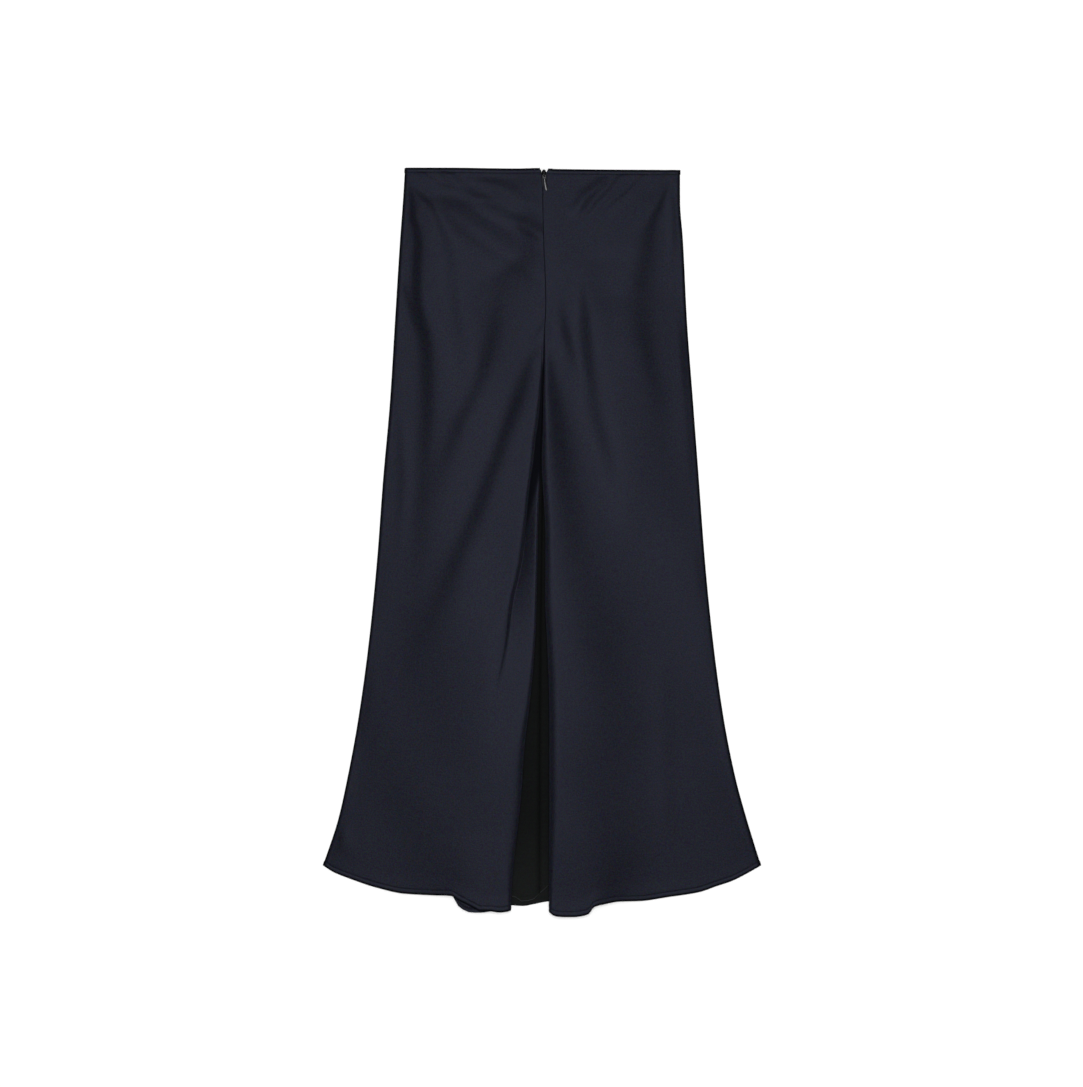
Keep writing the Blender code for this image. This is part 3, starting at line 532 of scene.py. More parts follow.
def clearance(side, x, down):
    """The lowest the top layer may lie: on the front, the zip tape or the pleat's return."""
    start, full = STEP_START
    over_fold = slope_past(STEPS[side], "line", "width", -SIGN[side], x, down)
    from_seam = (x - along(SIDE_SEAMS, side, down)) * -SIGN[side] / PANEL_WIDTH
    over_fold = over_fold * smoothstep((down - start) / (full - start)) * smoothstep(from_seam * 5)
    near, far = TAPE_STEP[side]
    far = mix(far, TAPE_STEP_LOW[side], smoothstep((down - TAPE_STEP_FADE[0]) / TAPE_STEP_FADE[1]))
    over_tape = smoothstep((far - np.abs(x - along(CENTRE_BACK, "x", down))) / (far - near))
    over_tape = over_tape * smoothstep((ZIP_END + PLEAT_RISE - down) / PLEAT_RISE)
    over_tape = over_tape * mix(
        TAPE_RISE_AT_WAIST, 1.0, smoothstep((down - TAPE_RISE_FADE[0]) / TAPE_RISE_FADE[1]))
    step = mix(TAPE_RISE * over_tape, OVER_RETURN - UNDERLAY_MID, over_fold)
    lift = HEM_LIFT["top"] + HEM_LIFT["over_fold"] * over_fold
    return UNDERLAY_MID + step + lift * near_hem(side, "top", x, down)


def crest_line(side, down):
    """Where the top layer ends and the rolled edge begins."""
    flap = FLAPS[side]
    out = along(flap, "edge", down) + along(flap, "roll", down)
    return along(CENTRE_BACK, "x", down) + SIGN[side] * out


def waver(x, down):
    """Very slight unevenness of the cloth, a sum of long waves."""
    waves = ((310, 140, 0.4, 0.12), (-170, 260, 1.9, 0.16), (150, -330, 3.1, 0.15), (-95, 210, 5.2, 0.07))
    return sum(h * np.sin(2 * math.pi * (x / wx + down / wd) + phase) for wx, wd, phase, h in waves)


def relaxed_height(side, x, down):
    """The top layer before its flap is raised: what it lies on, its loft and its folds."""
    seam, crest_x = along(SIDE_SEAMS, side, down), crest_line(side, down)
    from_seam = np.clip((x - seam) / (crest_x - seam), 0.0, 1.0)
    loft = along(LOFT, "high", down) * from_seam
    calm = smoothstep(from_seam * CALM_EDGE)
    folds = sum(fold_height(fold, x, down) for fold in FOLDS[side])
    uneven = waver(x, down) * smoothstep(down / 30)
    return clearance(side, x, down) + AIR_UNDER_TOP + loft + (folds + uneven) * calm


def painted_edge_shade(columns, last_top, rows, first_row, last_row, zip_rows):
    """Painted shade: 1 on the outermost millimetre of a back panel's top layer and in the zip's slit, else 0.
    """
    across, along_edge = np.zeros(len(columns)), np.zeros(rows)
    for i, (stretch, part) in enumerate(columns[: len(SEAM_COLUMNS) + 1]):
        across[i] = PAINTED_RIM_SHADE[0] if part * PANEL_WIDTH < 1.5 else PAINTED_RIM_SHADE[1]
    along_edge[: first_row + 3] = along_edge[last_row - 2 :] = PAINTED_RIM_SHADE[1]
    along_edge[: first_row + 2] = along_edge[last_row - 1 :] = PAINTED_RIM_SHADE[0]
    lip = [part if stretch == "roll" else 0 for stretch, part in columns]
    beside_zip = np.minimum(1, 1.6 * np.array(lip))[:, None] * (np.arange(rows) < first_row + zip_rows - 2)
    top = (np.arange(len(columns)) <= last_top + 6)[:, None]
    return np.maximum(np.maximum(across[:, None], along_edge[None, :] * top), beside_zip)


def from_fold_edge(x, down):
    """0 at the left flap's second fold, 1 at the flap's own edge."""
    fold_edge, crest_x = along(LEFT_FLAP, "fold_edge", down), crest_line("left", down)
    return (x - fold_edge) / np.maximum(crest_x - fold_edge, 0.4)


def painted_under_fold_shade(x, down):
    """Painted shade: 1 where the cloth comes out from under the left flap's second fold, 0 in the light."""
    out = np.clip(from_fold_edge(x, down), 0.0, 1.0)
    dark_to = mix(SHADE_ENDS[0], SHADE_ENDS[1], out)
    start, fade_in = SHADE_STARTS
    under = smoothstep(from_fold_edge(x, down) * 12 + 1) * smoothstep((down - start) / fade_in)
    return under * (1 - smoothstep((down - dark_to) / mix(*SHADE_FADES, out)))


def second_fold(x, down):
    """How far the left flap lies below its ridge, past the second fold's rounded edge."""
    ridge, fold_edge = along(LEFT_FLAP, "ridge", down), along(LEFT_FLAP, "fold_edge", down)
    groove, below = along(LEFT_FLAP, "groove", down), along(LEFT_FLAP, "below", down)
    rounding = np.clip((x - ridge) / (fold_edge - ridge), 0.0, 1.0)
    rounded = -groove * (1 - (1 - rounding**3) ** (1 / 3))
    out = np.clip(from_fold_edge(x, down), 0.0, 1.0)
    rising = -groove + (groove - below) * (out + np.sin(math.pi / 2 * out)) / 2
    return np.where(x < fold_edge, rounded, rising)


def top_height(side, x, down):
    """Height of a back panel's top layer."""
    seam, crest_x = along(SIDE_SEAMS, side, down), crest_line(side, down)
    reach = along(FLAPS[side], "bell", down)
    height = relaxed_height(side, x, down)
    height = height + along(FLAPS[side], "stand", down) * np.exp(-(((x - crest_x) / reach) ** 2))
    if side == "left":
        height = height + second_fold(x, down)
    from_edge = np.clip(1 - np.abs(x - seam) / SIDE_ROUND, 0.0, 1.0)
    height = smooth_max(height, clearance(side, x, down), 0.5)
    return height - SIDE_ROUND * (1 - np.sqrt(1 - from_edge**2))


def place(side, stretch, t, down):
    """(x, z) of a back panel at part t of one stretch of its section."""
    sign = SIGN[side]
    crest_x = crest_line(side, down)
    fold_centre = along(INNER_FOLDS, side, down) - sign * FOLD_RADIUS
    opened = smoothstep((down - PLEAT_OPENS) / (ZIP_END - PLEAT_OPENS))
    top = top_height(side, crest_x, down)
    roll = along(FLAPS[side], "roll", down)
    half = np.minimum(ROLL_FULLNESS[0] + ROLL_FULLNESS[1] * roll, (top - RETURN_MID) / 2)
    half = mix(ZIP_LIP, np.maximum(half, ZIP_LIP), opened)
    if stretch == "roll":
        angle = math.pi * t
        return crest_x - sign * roll * np.sin(angle), top - half + half * np.cos(angle)
    if stretch == "return":
        end = mix(crest_x + sign * ZIP_ALLOWANCE, fold_centre, opened)
        under_roll = top - 2 * half
        return mix(crest_x, end, t), mix(under_roll, mix(under_roll, RETURN_MID, opened), smoothstep(t * 2))
    if stretch == "inner_fold":
        angle = math.pi * t
        middle = (RETURN_MID + UNDERLAY_MID) / 2
        x = fold_centre + sign * FOLD_RADIUS * np.sin(angle)
        z = middle + FOLD_RADIUS * np.cos(angle)
        return x, z + t * HEM_LIFT["underlay"] * near_hem(side, "underlay", x, down)
    if stretch == "underlay":
        seam = along(CENTRE_BACK, "x", down) + sign * 0.15
        x = mix(fold_centre, seam, t)
        lift = HEM_LIFT["underlay"] * near_hem(side, "underlay", x, down)
        return x, UNDERLAY_MID + lift - 0.5 * np.exp(-(((x - seam) / 0.9) ** 2))
    lines = [along(SIDE_SEAMS, side, down)]
    lines += [along(FLAPS[side], name, down) for name in TOP_LINES[side]]
    lines += [crest_x]
    x = mix(lines[stretch], lines[stretch + 1], t)
    return x, top_height(side, x, down)


def hem_down(side, stretch, t, x):
    """Where the hem is at the foot of one column of cloth."""
    top, back, under = (HEMS[f"{side}_{layer}"] for layer in ("top", "return", "underlay"))
    if stretch == "roll":
        return mix(along(top, "down", x, by="x"), along(back, "down", x, by="x"), t)
    if stretch == "return":
        return along(back, "down", x, by="x")
    if stretch == "inner_fold":
        return mix(along(back, "down", x, by="x"), along(under, "down", x, by="x"), t)
    if stretch == "underlay":
        return along(under, "down", x, by="x")
    return along(top, "down", x, by="x")


def back_columns(side):
    """Every column of cloth in a back panel, from the side seam to the centre back."""
    columns = [(0, 0.0)] + [(0, near / PANEL_WIDTH) for near in SEAM_COLUMNS]
    start = SEAM_COLUMNS[-1] / PANEL_WIDTH
    for stretch, count in [*enumerate(TOP_COLUMNS[side]), *HIDDEN_COLUMNS[side]]:
        first = start if stretch == 0 else 0.0
        columns += [(stretch, mix(first, 1.0, (i + 1) / count)) for i in range(count)]
    return columns


def fine_ends(length, row, close_start, close_end):
    """Fractions from 0 to 1 with rows EDGE_ROW apart beside the ends that need them."""
    edge = np.arange(EDGE_ROWS + 1) * EDGE_ROW / length
    first = edge if close_start else edge[:1]
    last = 1 - edge[::-1] if close_end else np.array([1.0])
    count = max(2, round((last[0] - first[-1]) * length / row))
    return np.concatenate([first, np.linspace(first[-1], last[0], count + 1)[1:-1], last])


# ---------------------------------------------------------------- meshes
def mesh_object(name, vertices, faces, material):
    mesh = bpy.data.meshes.new(name)
    mesh.from_pydata([tuple(v) for v in vertices], [], faces)
    mesh.update()
    mesh.shade_smooth()
    mesh.materials.append(material)
    obj = bpy.data.objects.new(name, mesh)
    bpy.context.scene.collection.objects.link(obj)
    return obj


def normals_of(grid, flip):
    """Unit normals of a grid of points [column, row], pointing to the cloth's right side."""
    columns = np.gradient(grid, axis=0)
    rows = np.gradient(grid, axis=1)
    normal = np.cross(rows, columns) * flip
    return normal / np.maximum(np.linalg.norm(normal, axis=2, keepdims=True), 1e-9)


def turn_under(grid, normals, at_end):
    """Rows that fold the cloth under at its hem (or its waist) and run back beneath it."""
    if not at_end:
        grid, normals = grid[:, ::-1], normals[:, ::-1]
    edge, before = grid[:, -1], grid[:, -2]
    onward = edge - before
    onward = onward / np.linalg.norm(onward, axis=1, keepdims=True)
    rows = []
    for angle in np.radians((45, 90, 135)):
        swing = onward * math.sin(angle) - normals[:, -1] * (1 - math.cos(angle))
        rows.append(edge + swing * HEM_FOLD)
    for back in range(HEM_TURN + 1):
        rows.append(grid[:, -1 - back] - normals[:, -1 - back] * 2 * HEM_FOLD)
    turned = np.stack(rows, axis=1)
    return turned if at_end else turned[:, ::-1]


def press_stitching(grid, normals, at_end):
    """A shallow groove where the hem is stitched, and a slight swell between it and the edge."""
    stitched = STITCH_ROW if at_end else WAIST_STITCH_ROW
    groove = ((stitched - 1, -0.08), (stitched, -0.3), (stitched + 1, -0.08))
    for offset, depth in (*groove, (3, 0.05), (2, 0.05), (0, -0.5)):
        row = grid.shape[1] - 1 - offset if at_end else offset
        grid[:, row] += normals[:, row] * depth
    return grid


def sheet_from_grid(name, grid, missing, material, inside=None, inside_from=10**6, attributes=()):
    """A shell of cloth from a grid of points in millimetres [column, row, (x, down, z)]."""
    columns, rows, _ = grid.shape
    keep = ~missing
    index = np.full((columns, rows), -1)
    index[keep] = np.arange(keep.sum())
    points = grid[keep]
    vertices = np.stack([points[:, 0], WAIST_ABOVE_ORIGIN - points[:, 1], points[:, 2]], axis=1) * MM
    corners = np.stack([index[:-1, :-1], index[1:, :-1], index[1:, 1:], index[:-1, 1:]], axis=-1)
    whole = (corners >= 0).all(axis=-1)
    column = np.broadcast_to(np.arange(columns - 1)[:, None], whole.shape)[whole]
    obj = mesh_object(name, vertices, corners[whole].tolist(), material)
    if inside:
        obj.data.materials.append(inside)
        obj.data.polygons.foreach_set("material_index", (column >= inside_from).astype(np.int32))
    for label, values in attributes:
        stored = obj.data.attributes.new(label, "FLOAT", "POINT")
        stored.data.foreach_set("value", values[keep].astype(np.float32))
    shell = obj.modifiers.new("thickness", "SOLIDIFY")
    shell.thickness = SATIN * MM
    shell.offset = 0.0
    return obj


def as_space(grid):
    """Table points (x, down, z) as right-handed space (x, y, z), still in millimetres."""
    return np.stack([grid[..., 0], WAIST_ABOVE_ORIGIN - grid[..., 1], grid[..., 2]], axis=-1)


def stitches(name, paths, material):
    """Thread stitches along paths of (point, cloth normal) rows, in millimetres, joined as one mesh."""
    length, width, height = STITCH_SIZE
    ring = [(math.cos(a), math.sin(a)) for a in np.linspace(0, 2 * math.pi, 7)[:-1]]
    profile = ((-0.5, 0.25), (-0.32, 0.85), (0.0, 1.0), (0.32, 0.85), (0.5, 0.25))
    vertices, faces = [], []
    for points, normals in paths:
        step = np.linalg.norm(np.diff(points, axis=0), axis=1)
        run = np.concatenate([[0.0], np.cumsum(step)])
        count = int(run[-1] / STITCH_PITCH)
        for k in range(count):
            at = (k + 0.5) * STITCH_PITCH
            middle = np.array([np.interp(at, run, points[:, i]) for i in range(3)])
            ahead = np.array([np.interp(at + 0.5, run, points[:, i]) for i in range(3)]) - middle
            up = np.array([np.interp(at, run, normals[:, i]) for i in range(3)])
            ahead = ahead / max(np.linalg.norm(ahead), 1e-9)
            side = np.cross(up, ahead)
            base = len(vertices)
            for along_stitch, fat in profile:
                for ca, sa in ring:
                    point = middle + ahead * along_stitch * length + side * ca * fat * width / 2
                    point = point + up * (SATIN / 2 + sa * fat * height / 2 - 0.04)
                    vertices.append(point * MM)
            for j in range(len(profile) - 1):
                for i in range(6):
                    a, b = base + j * 6 + i, base + j * 6 + (i + 1) % 6
                    faces.append((a, b, b + 6, a + 6))
            faces.append(tuple(base + i for i in reversed(range(6))))
            faces.append(tuple(base + 24 + i for i in range(6)))
    return mesh_object(name, vertices, faces, material)


def loft(rings, closed=False):
    """Points and faces of a skin over rings of points [ring, point, xyz], capped unless closed."""
    rings = np.asarray(rings, float)
    count, around, _ = rings.shape
    faces = []
    for i in range(count if closed else count - 1):
        a, b = i * around, (i + 1) % count * around
        faces += [(a + j, a + (j + 1) % around, b + (j + 1) % around, b + j) for j in range(around)]
    if not closed:
        faces += [tuple(range(around)), tuple(range((count - 1) * around, count * around))]
    return rings.reshape(-1, 3), faces


def solid_object(name, parts, material):
    """One piece from several lofts in millimetres, its faces turned outwards."""
    vertices, faces = [], []
    for points, its_faces in parts:
        faces += [tuple(i + len(vertices) for i in face) for face in its_faces]
        vertices += list(points * MM)
    obj = mesh_object(name, vertices, faces, material)
    shape = bmesh.new()
    shape.from_mesh(obj.data)
    bmesh.ops.recalc_face_normals(shape, faces=shape.faces)
    shape.to_mesh(obj.data)
    shape.free()
    return obj


# ---------------------------------------------------------------- materials
def feed(socket, value):
    """Links an input to another node's output, or sets its value."""
    if isinstance(value, bpy.types.NodeSocket):
        socket.id_data.links.new(value, socket)
    else:
        socket.default_value = value


def add_node(material, kind, **values):
    """A shader node; a name that isn't one of its inputs is one of its properties."""
    node = material.node_tree.nodes.new(kind)
    for key, value in values.items():
        if key in node.inputs:
            feed(node.inputs[key], value)
        else:
            setattr(node, key, value)
    return node


def new_material(name):
    """A material, its shader and the output that says where on the skirt a point lies."""
    material = bpy.data.materials.new(name)
    material.use_nodes = True
    shader = material.node_tree.nodes["Principled BSDF"]
    return material, shader, add_node(material, "ShaderNodeTexCoord").outputs["Object"]


def finish_shader(shader, **values):
    """Feeds the shader's inputs, named with _ for their spaces."""
    for name, value in values.items():
        feed(shader.inputs[name.replace("_", " ")], value)


def mixed(material, factor, a, b, kind="RGBA", **properties):
    """A mix of two colours (or values); each of the three is a number or another output."""
    first, result = {"RGBA": (6, 2), "FLOAT": (2, 0)}[kind]
    node = add_node(material, "ShaderNodeMix", data_type=kind, **properties)
    for index, value in ((0, factor), (first, a), (first + 1, b)):
        feed(node.inputs[index], value)
    return node.outputs[result]


def ramp(material, factor, dark, light, ends=(0.0, 1.0)):
    """A colour between dark and light."""
    node = add_node(material, "ShaderNodeValToRGB", Fac=factor)
    for element, position, colour in zip(node.color_ramp.elements, ends, (dark, light)):
        element.position, element.color = position, (*colour, 1)
    return node.outputs["Color"]


def map_range(material, value, low, high, **values):
    """A value from one range carried into low to high."""
    ends = {"To Min": low, "To Max": high}
    return add_node(material, "ShaderNodeMapRange", Value=value, **ends, **values).outputs["Result"]


def bump(material, height, strength, distance, **values):
    node = add_node(material, "ShaderNodeBump", Height=height, Strength=strength, Distance=distance, **values)
    return node.outputs["Normal"]


def attribute(material, name):
    return add_node(material, "ShaderNodeAttribute", attribute_name=name).outputs["Fac"]


def satin_material(name, grain, inside=False, shaded=False):
    """Dark navy satin: bias streaks along the grain (in degrees), fine weave and soft gloss.

    Inside the pleat the cloth is duller, with painted shade that lightens towards its hem and a painted
    highlight on the underlay's hem edge. A shaded cloth gets painted shade, darker and duller, where its mesh
    says so.
    """
    material, shader, spot = new_material(name)

    def turned(scale):
        turn = (0, 0, math.radians(grain))
        node = add_node(material, "ShaderNodeMapping", Vector=spot, Rotation=turn, Scale=scale)
        return node.outputs["Vector"]

    def noise(vector, **values):
        return add_node(material, "ShaderNodeTexNoise", Vector=vector, **values)

    streaks = noise(turned(STREAKS), Scale=1.0, Detail=3.0, Roughness=0.6).outputs["Fac"]
    cloudy = noise(spot, Scale=CLOUDS, Detail=2.0).outputs["Fac"]
    tone = mixed(material, CLOUD_SHARE, streaks, cloudy, "FLOAT")
    colour = ramp(material, tone, *(INSIDE_COLOURS if inside else (SATIN_DARK, SATIN_LIGHT)), NOISE_RANGE)

    speckle = noise(spot, Scale=GRAIN["scale"], Detail=2.0, Roughness=0.7)
    strength = GRAIN["strength"] * (GRAIN["share_inside"] if inside else 1)
    spread = add_node(material, "ShaderNodeMapRange", data_type="FLOAT_VECTOR", clamp=False)
    feed(spread.inputs["Vector"], speckle.outputs["Color"])
    ends = {
        "From_Min_FLOAT3": NOISE_RANGE[0], "From_Max_FLOAT3": NOISE_RANGE[1],
        "To_Min_FLOAT3": 1 - strength, "To_Max_FLOAT3": 1 + strength,
    }
    for socket in spread.inputs:
        if socket.identifier in ends:
            socket.default_value = (ends[socket.identifier],) * 3
    colour = mixed(material, 1.0, colour, spread.outputs["Vector"], blend_type="MULTIPLY")

    dull = INSIDE_DULLER if inside else 0
    roughness = map_range(material, tone, GLOSS[0] + dull, GLOSS[1] + dull)
    if inside:
        # painted shade inside the pleat, lightening towards the open hem
        up = add_node(material, "ShaderNodeSeparateXYZ", Vector=spot).outputs["Y"]
        near_the_hem = {"From Min": INSIDE_LIGHTENS[0], "From Max": INSIDE_LIGHTENS[1]}
        level = map_range(material, up, *INSIDE_PAINTED_SHADE, interpolation_type="SMOOTHSTEP", **near_the_hem)
        painted_shade = add_node(material, "ShaderNodeVectorMath", operation="SCALE", Scale=level)
        feed(painted_shade.inputs[0], colour)
        # painted highlight on the underlay's hem edge, where the mesh marks it
        colour = mixed(material, attribute(material, "hem_painted_highlight"), painted_shade.outputs["Vector"], (*HEM_PAINTED_HIGHLIGHT, 1))
    # painted shade where the mesh marks it
    if shaded:
        painted_shade = attribute(material, "painted_shade")
        colour = mixed(material, painted_shade, colour, (*PAINTED_SHADE_COLOUR, 1))
        roughness = mixed(material, painted_shade, roughness, PAINTED_SHADE_ROUGHNESS, "FLOAT")

    warp = add_node(
        material, "ShaderNodeTexWave", wave_type="BANDS", bands_direction="Y",
        Vector=turned((WEAVE["scale"],) * 3), Scale=1.0)
    relief = bump(material, warp.outputs["Fac"], *WEAVE["bump"])
    relief = bump(material, streaks, *STREAK_BUMP, Normal=relief)
    relief = bump(material, speckle.outputs["Fac"], *GRAIN["bump"], Normal=relief)
    finish_shader(
        shader, Base_Color=colour, Roughness=roughness, Normal=relief,
        Specular_IOR_Level=INSIDE_SHINE if inside else SATIN_SHINE, Specular_Tint=(*SHINE_TINT, 1))
    return material


def thread_material():
    """Navy polyester sewing thread, matt and twisted."""
    material, shader, spot = new_material("thread")
    twist = add_node(material, "ShaderNodeTexNoise", Vector=spot, Scale=2500.0, Detail=1.0).outputs["Fac"]
    colour = ramp(material, twist, *THREAD_COLOURS)
    finish_shader(shader, Base_Color=colour, Roughness=0.8, Specular_IOR_Level=0.02)
    return material


def tape_material():
    """Matt knitted zip tape with fine ribs along its length."""
    material, shader, spot = new_material("zip_tape_weave")
    wave = add_node(
        material, "ShaderNodeTexWave", wave_type="BANDS", bands_direction="X", Vector=spot, Scale=380.0)
    ribs = wave.outputs["Fac"]
    colour = ramp(material, ribs, *TAPE_COLOURS)
    finish_shader(shader, Base_Color=colour, Roughness=0.85, Normal=bump(material, ribs, 0.5, 0.0001))
    return material


def metal_material(name, dark, light):
    """Polished zip metal with faint wear, between two greys."""
    material, shader, spot = new_material(name)
    wear = add_node(material, "ShaderNodeTexNoise", Vector=spot, Scale=900.0, Detail=4.0).outputs["Fac"]
    colour = ramp(material, wear, *((grey, grey, grey * METAL_BLUE) for grey in (dark, light)))
    gloss = map_range(material, wear, *METAL_GLOSS)
    finish_shader(shader, Base_Color=colour, Roughness=gloss, Metallic=1.0)
    return material


def floor_material():
    material, shader, _ = new_material("pale_floor")
    finish_shader(shader, Base_Color=(*FLOOR_COLOUR, 1), Roughness=0.9, Specular_IOR_Level=0.1)
    return material


# ---------------------------------------------------------------- cloth panels
def make_back_panel(side, cloth, inside):
    """One back panel as a turned and stitched shell; returns the sheet and its stitch paths."""
    columns = back_columns(side)
    last_top = max(i for i, (stretch, _) in enumerate(columns) if isinstance(stretch, int))
    last_edge = max(i for i, (stretch, _) in enumerate(columns) if stretch == "return")
    deepest = HEMS[f"{side}_top"]["down"].max()
    along_zip = fine_ends(ZIP_END, ROW, True, False)
    along_pleat = fine_ends(deepest - ZIP_END, ROW, False, True)[1:]
    zip_rows = len(along_zip) - 1
    grid = []
    for stretch in dict.fromkeys(stretch for stretch, _ in columns):
        t = np.array([[t] for name, t in columns if name == stretch])
        on_top, above_zip = isinstance(stretch, int), stretch in ("roll", "return")
        hem_x, _ = place(side, stretch, t, np.full(t.shape, deepest))
        hem = hem_down(side, stretch, t, hem_x)
        waist = 0.0
        if on_top or above_zip:
            waist_x, _ = place(side, stretch, t, np.zeros(t.shape))
            waist = along(WAIST_BACK, "down", waist_x, by="x")
        zip_end = mix(waist, hem, ZIP_END / deepest) if on_top else np.full(t.shape, ZIP_END)
        down = np.concatenate([mix(waist, zip_end, along_zip), mix(zip_end, hem, along_pleat)], axis=1)
        x, z = place(side, stretch, t, down)
        grid.append(np.stack([x, down, z], axis=2))
    grid = as_space(np.concatenate(grid))
    normals = normals_of(grid, -SIGN[side])
    grid = press_stitching(grid, normals, at_end=True)
    grid[:last_top] = press_stitching(grid[:last_top], normals[:last_top], at_end=False)
    waist_turn = turn_under(grid, normals, at_end=False)
    hem_turn = turn_under(grid, normals, at_end=True)
    whole = np.concatenate([waist_turn, grid, hem_turn], axis=1)
    missing = np.zeros(whole.shape[:2], bool)
    waist_rows = waist_turn.shape[1]
    missing[last_edge + 1 :, : waist_rows + zip_rows] = True
    missing[last_top - 1 :, :waist_rows] = True
    whole[..., 1] = WAIST_ABOVE_ORIGIN - whole[..., 1]
    last_row = whole.shape[1] - 1 - hem_turn.shape[1]
    # painted shade on the rim, in the zip's slit and under the left flap's second fold
    painted_shade = painted_edge_shade(columns, last_top, whole.shape[1], waist_rows, last_row, zip_rows)
    if side == "left":
        painted_shade = np.maximum(painted_shade, PAINTED_SHADE_UNDER_FOLD * painted_under_fold_shade(whole[..., 0], whole[..., 1]))
    # painted highlight along the underlay's hem edge
    hem_painted_highlight = np.zeros(painted_shade.shape)
    hem_painted_highlight[last_edge + 2 :, last_row:] = 1.0
    attributes = (("painted_shade", painted_shade), ("hem_painted_highlight", hem_painted_highlight))
    sheet = sheet_from_grid(f"back_{side}_satin", whole, missing, cloth, inside, last_edge, attributes)
    row = grid.shape[1] - 1 - STITCH_ROW
    hem_path = (grid[:, row], normals[:, row])
    waist_path = (grid[: last_top - 1, WAIST_STITCH_ROW], normals[: last_top - 1, WAIST_STITCH_ROW])
    return sheet, [hem_path, waist_path]


def make_front_panel(cloth):
    """The front panel, flat on the surface, its edges rising a little to the side seams."""
    deepest = HEMS["front"]["down"].max()
    rows = fine_ends(deepest, FRONT_ROW, True, True)
    edge = np.array([0.0, *SEAM_COLUMNS]) / (2 * PANEL_WIDTH)
    middle = np.linspace(edge[-1], 1 - edge[-1], FRONT_COLUMNS)[1:-1]
    grid = []
    for across in np.concatenate([edge, middle, 1 - edge[::-1]]):
        at_waist = mix(SIDE_SEAMS["left"][0], SIDE_SEAMS["right"][0], across)
        at_hem = mix(SIDE_SEAMS["left"][-1], SIDE_SEAMS["right"][-1], across)
        waist = along(WAIST_FRONT, "down", at_waist, by="x")
        hem = along(HEMS["front"], "down", at_hem, by="x")
        down = mix(waist, hem, rows)
        left, right = along(SIDE_SEAMS, "left", down), along(SIDE_SEAMS, "right", down)
        x = mix(left, right, across)
        from_edge = np.clip(1 - np.minimum(x - left, right - x) / 0.6, 0.0, 1.0)
        near_waist = smoothstep(1 - (down - waist) / HEM_LIFT_REACH)
        near_edge = np.maximum(near_hem("front", "", x, down), near_waist)
        z = FRONT_MID + HEM_LIFT["front"] * near_edge + 0.3 * (1 - np.sqrt(1 - from_edge**2))
        grid.append(np.stack([x, down, z], axis=1))
    grid = as_space(np.stack(grid))
    inside = normals_of(grid, -1)
    hem_turn = turn_under(grid, -inside, at_end=True)
    waist_turn = turn_under(grid, -inside, at_end=False)
    whole = np.concatenate([waist_turn, grid, hem_turn], axis=1)
    whole[..., 1] = WAIST_ABOVE_ORIGIN - whole[..., 1]
    missing = np.zeros(whole.shape[:2], bool)
    sheet = sheet_from_grid("front_satin", whole, missing, cloth)
    row = grid.shape[1] - 1 - STITCH_ROW
    return sheet, [(grid[:, row], -inside[:, row])]


# ---------------------------------------------------------------- the zip
def place_at(points, x, down, z):
    """Points around an own origin, moved to a place on the skirt."""
    return np.asarray(points, float) + np.array([x, WAIST_ABOVE_ORIGIN - down, z])


def make_slider(metal):
    """The slider's two plates with a narrower slot between them, and the arched bail."""
    half, nose = SLIDER_SIZE[0] / 2, 3.6
    angles = np.radians(np.linspace(0, 180, 17))
    outline = [(half * math.cos(a), -nose + nose * math.sin(a)) for a in angles]
    waist, tail = (half - 0.15, -7.0), (half - 0.5, -SLIDER_SIZE[1])
    outline += [(-waist[0], waist[1]), (-tail[0], tail[1]), tail, waist]
    outline = np.array(outline)
    middle = np.array([0.0, -SLIDER_SIZE[1] / 2])
    rings = []
    for z, scale in SLIDER_LEVELS:
        flat = middle + (outline - middle) * scale
        rings.append(np.column_stack([flat, np.full(len(flat), z)]))
    body = loft(place_at(rings, SLIDER_AT[0], SLIDER_AT[1], SLIDER_FLOOR))
    around = np.linspace(0, 2 * math.pi, 13)[:-1]
    aside = np.array([1.0, 0.0, 0.0])
    rings = []
    for angle in np.radians(np.linspace(-35, 215, 21)):
        out = np.array([0.0, math.cos(angle), math.sin(angle)])
        wire = [BAIL_WIRE * (math.cos(t) * out + math.sin(t) * aside) for t in around]
        rings.append([BAIL_RADIUS * out + point for point in wire])
    bail = loft(place_at(rings, *HINGE_AT))
    return solid_object("zip_slider_with_bail", (body, bail), metal)


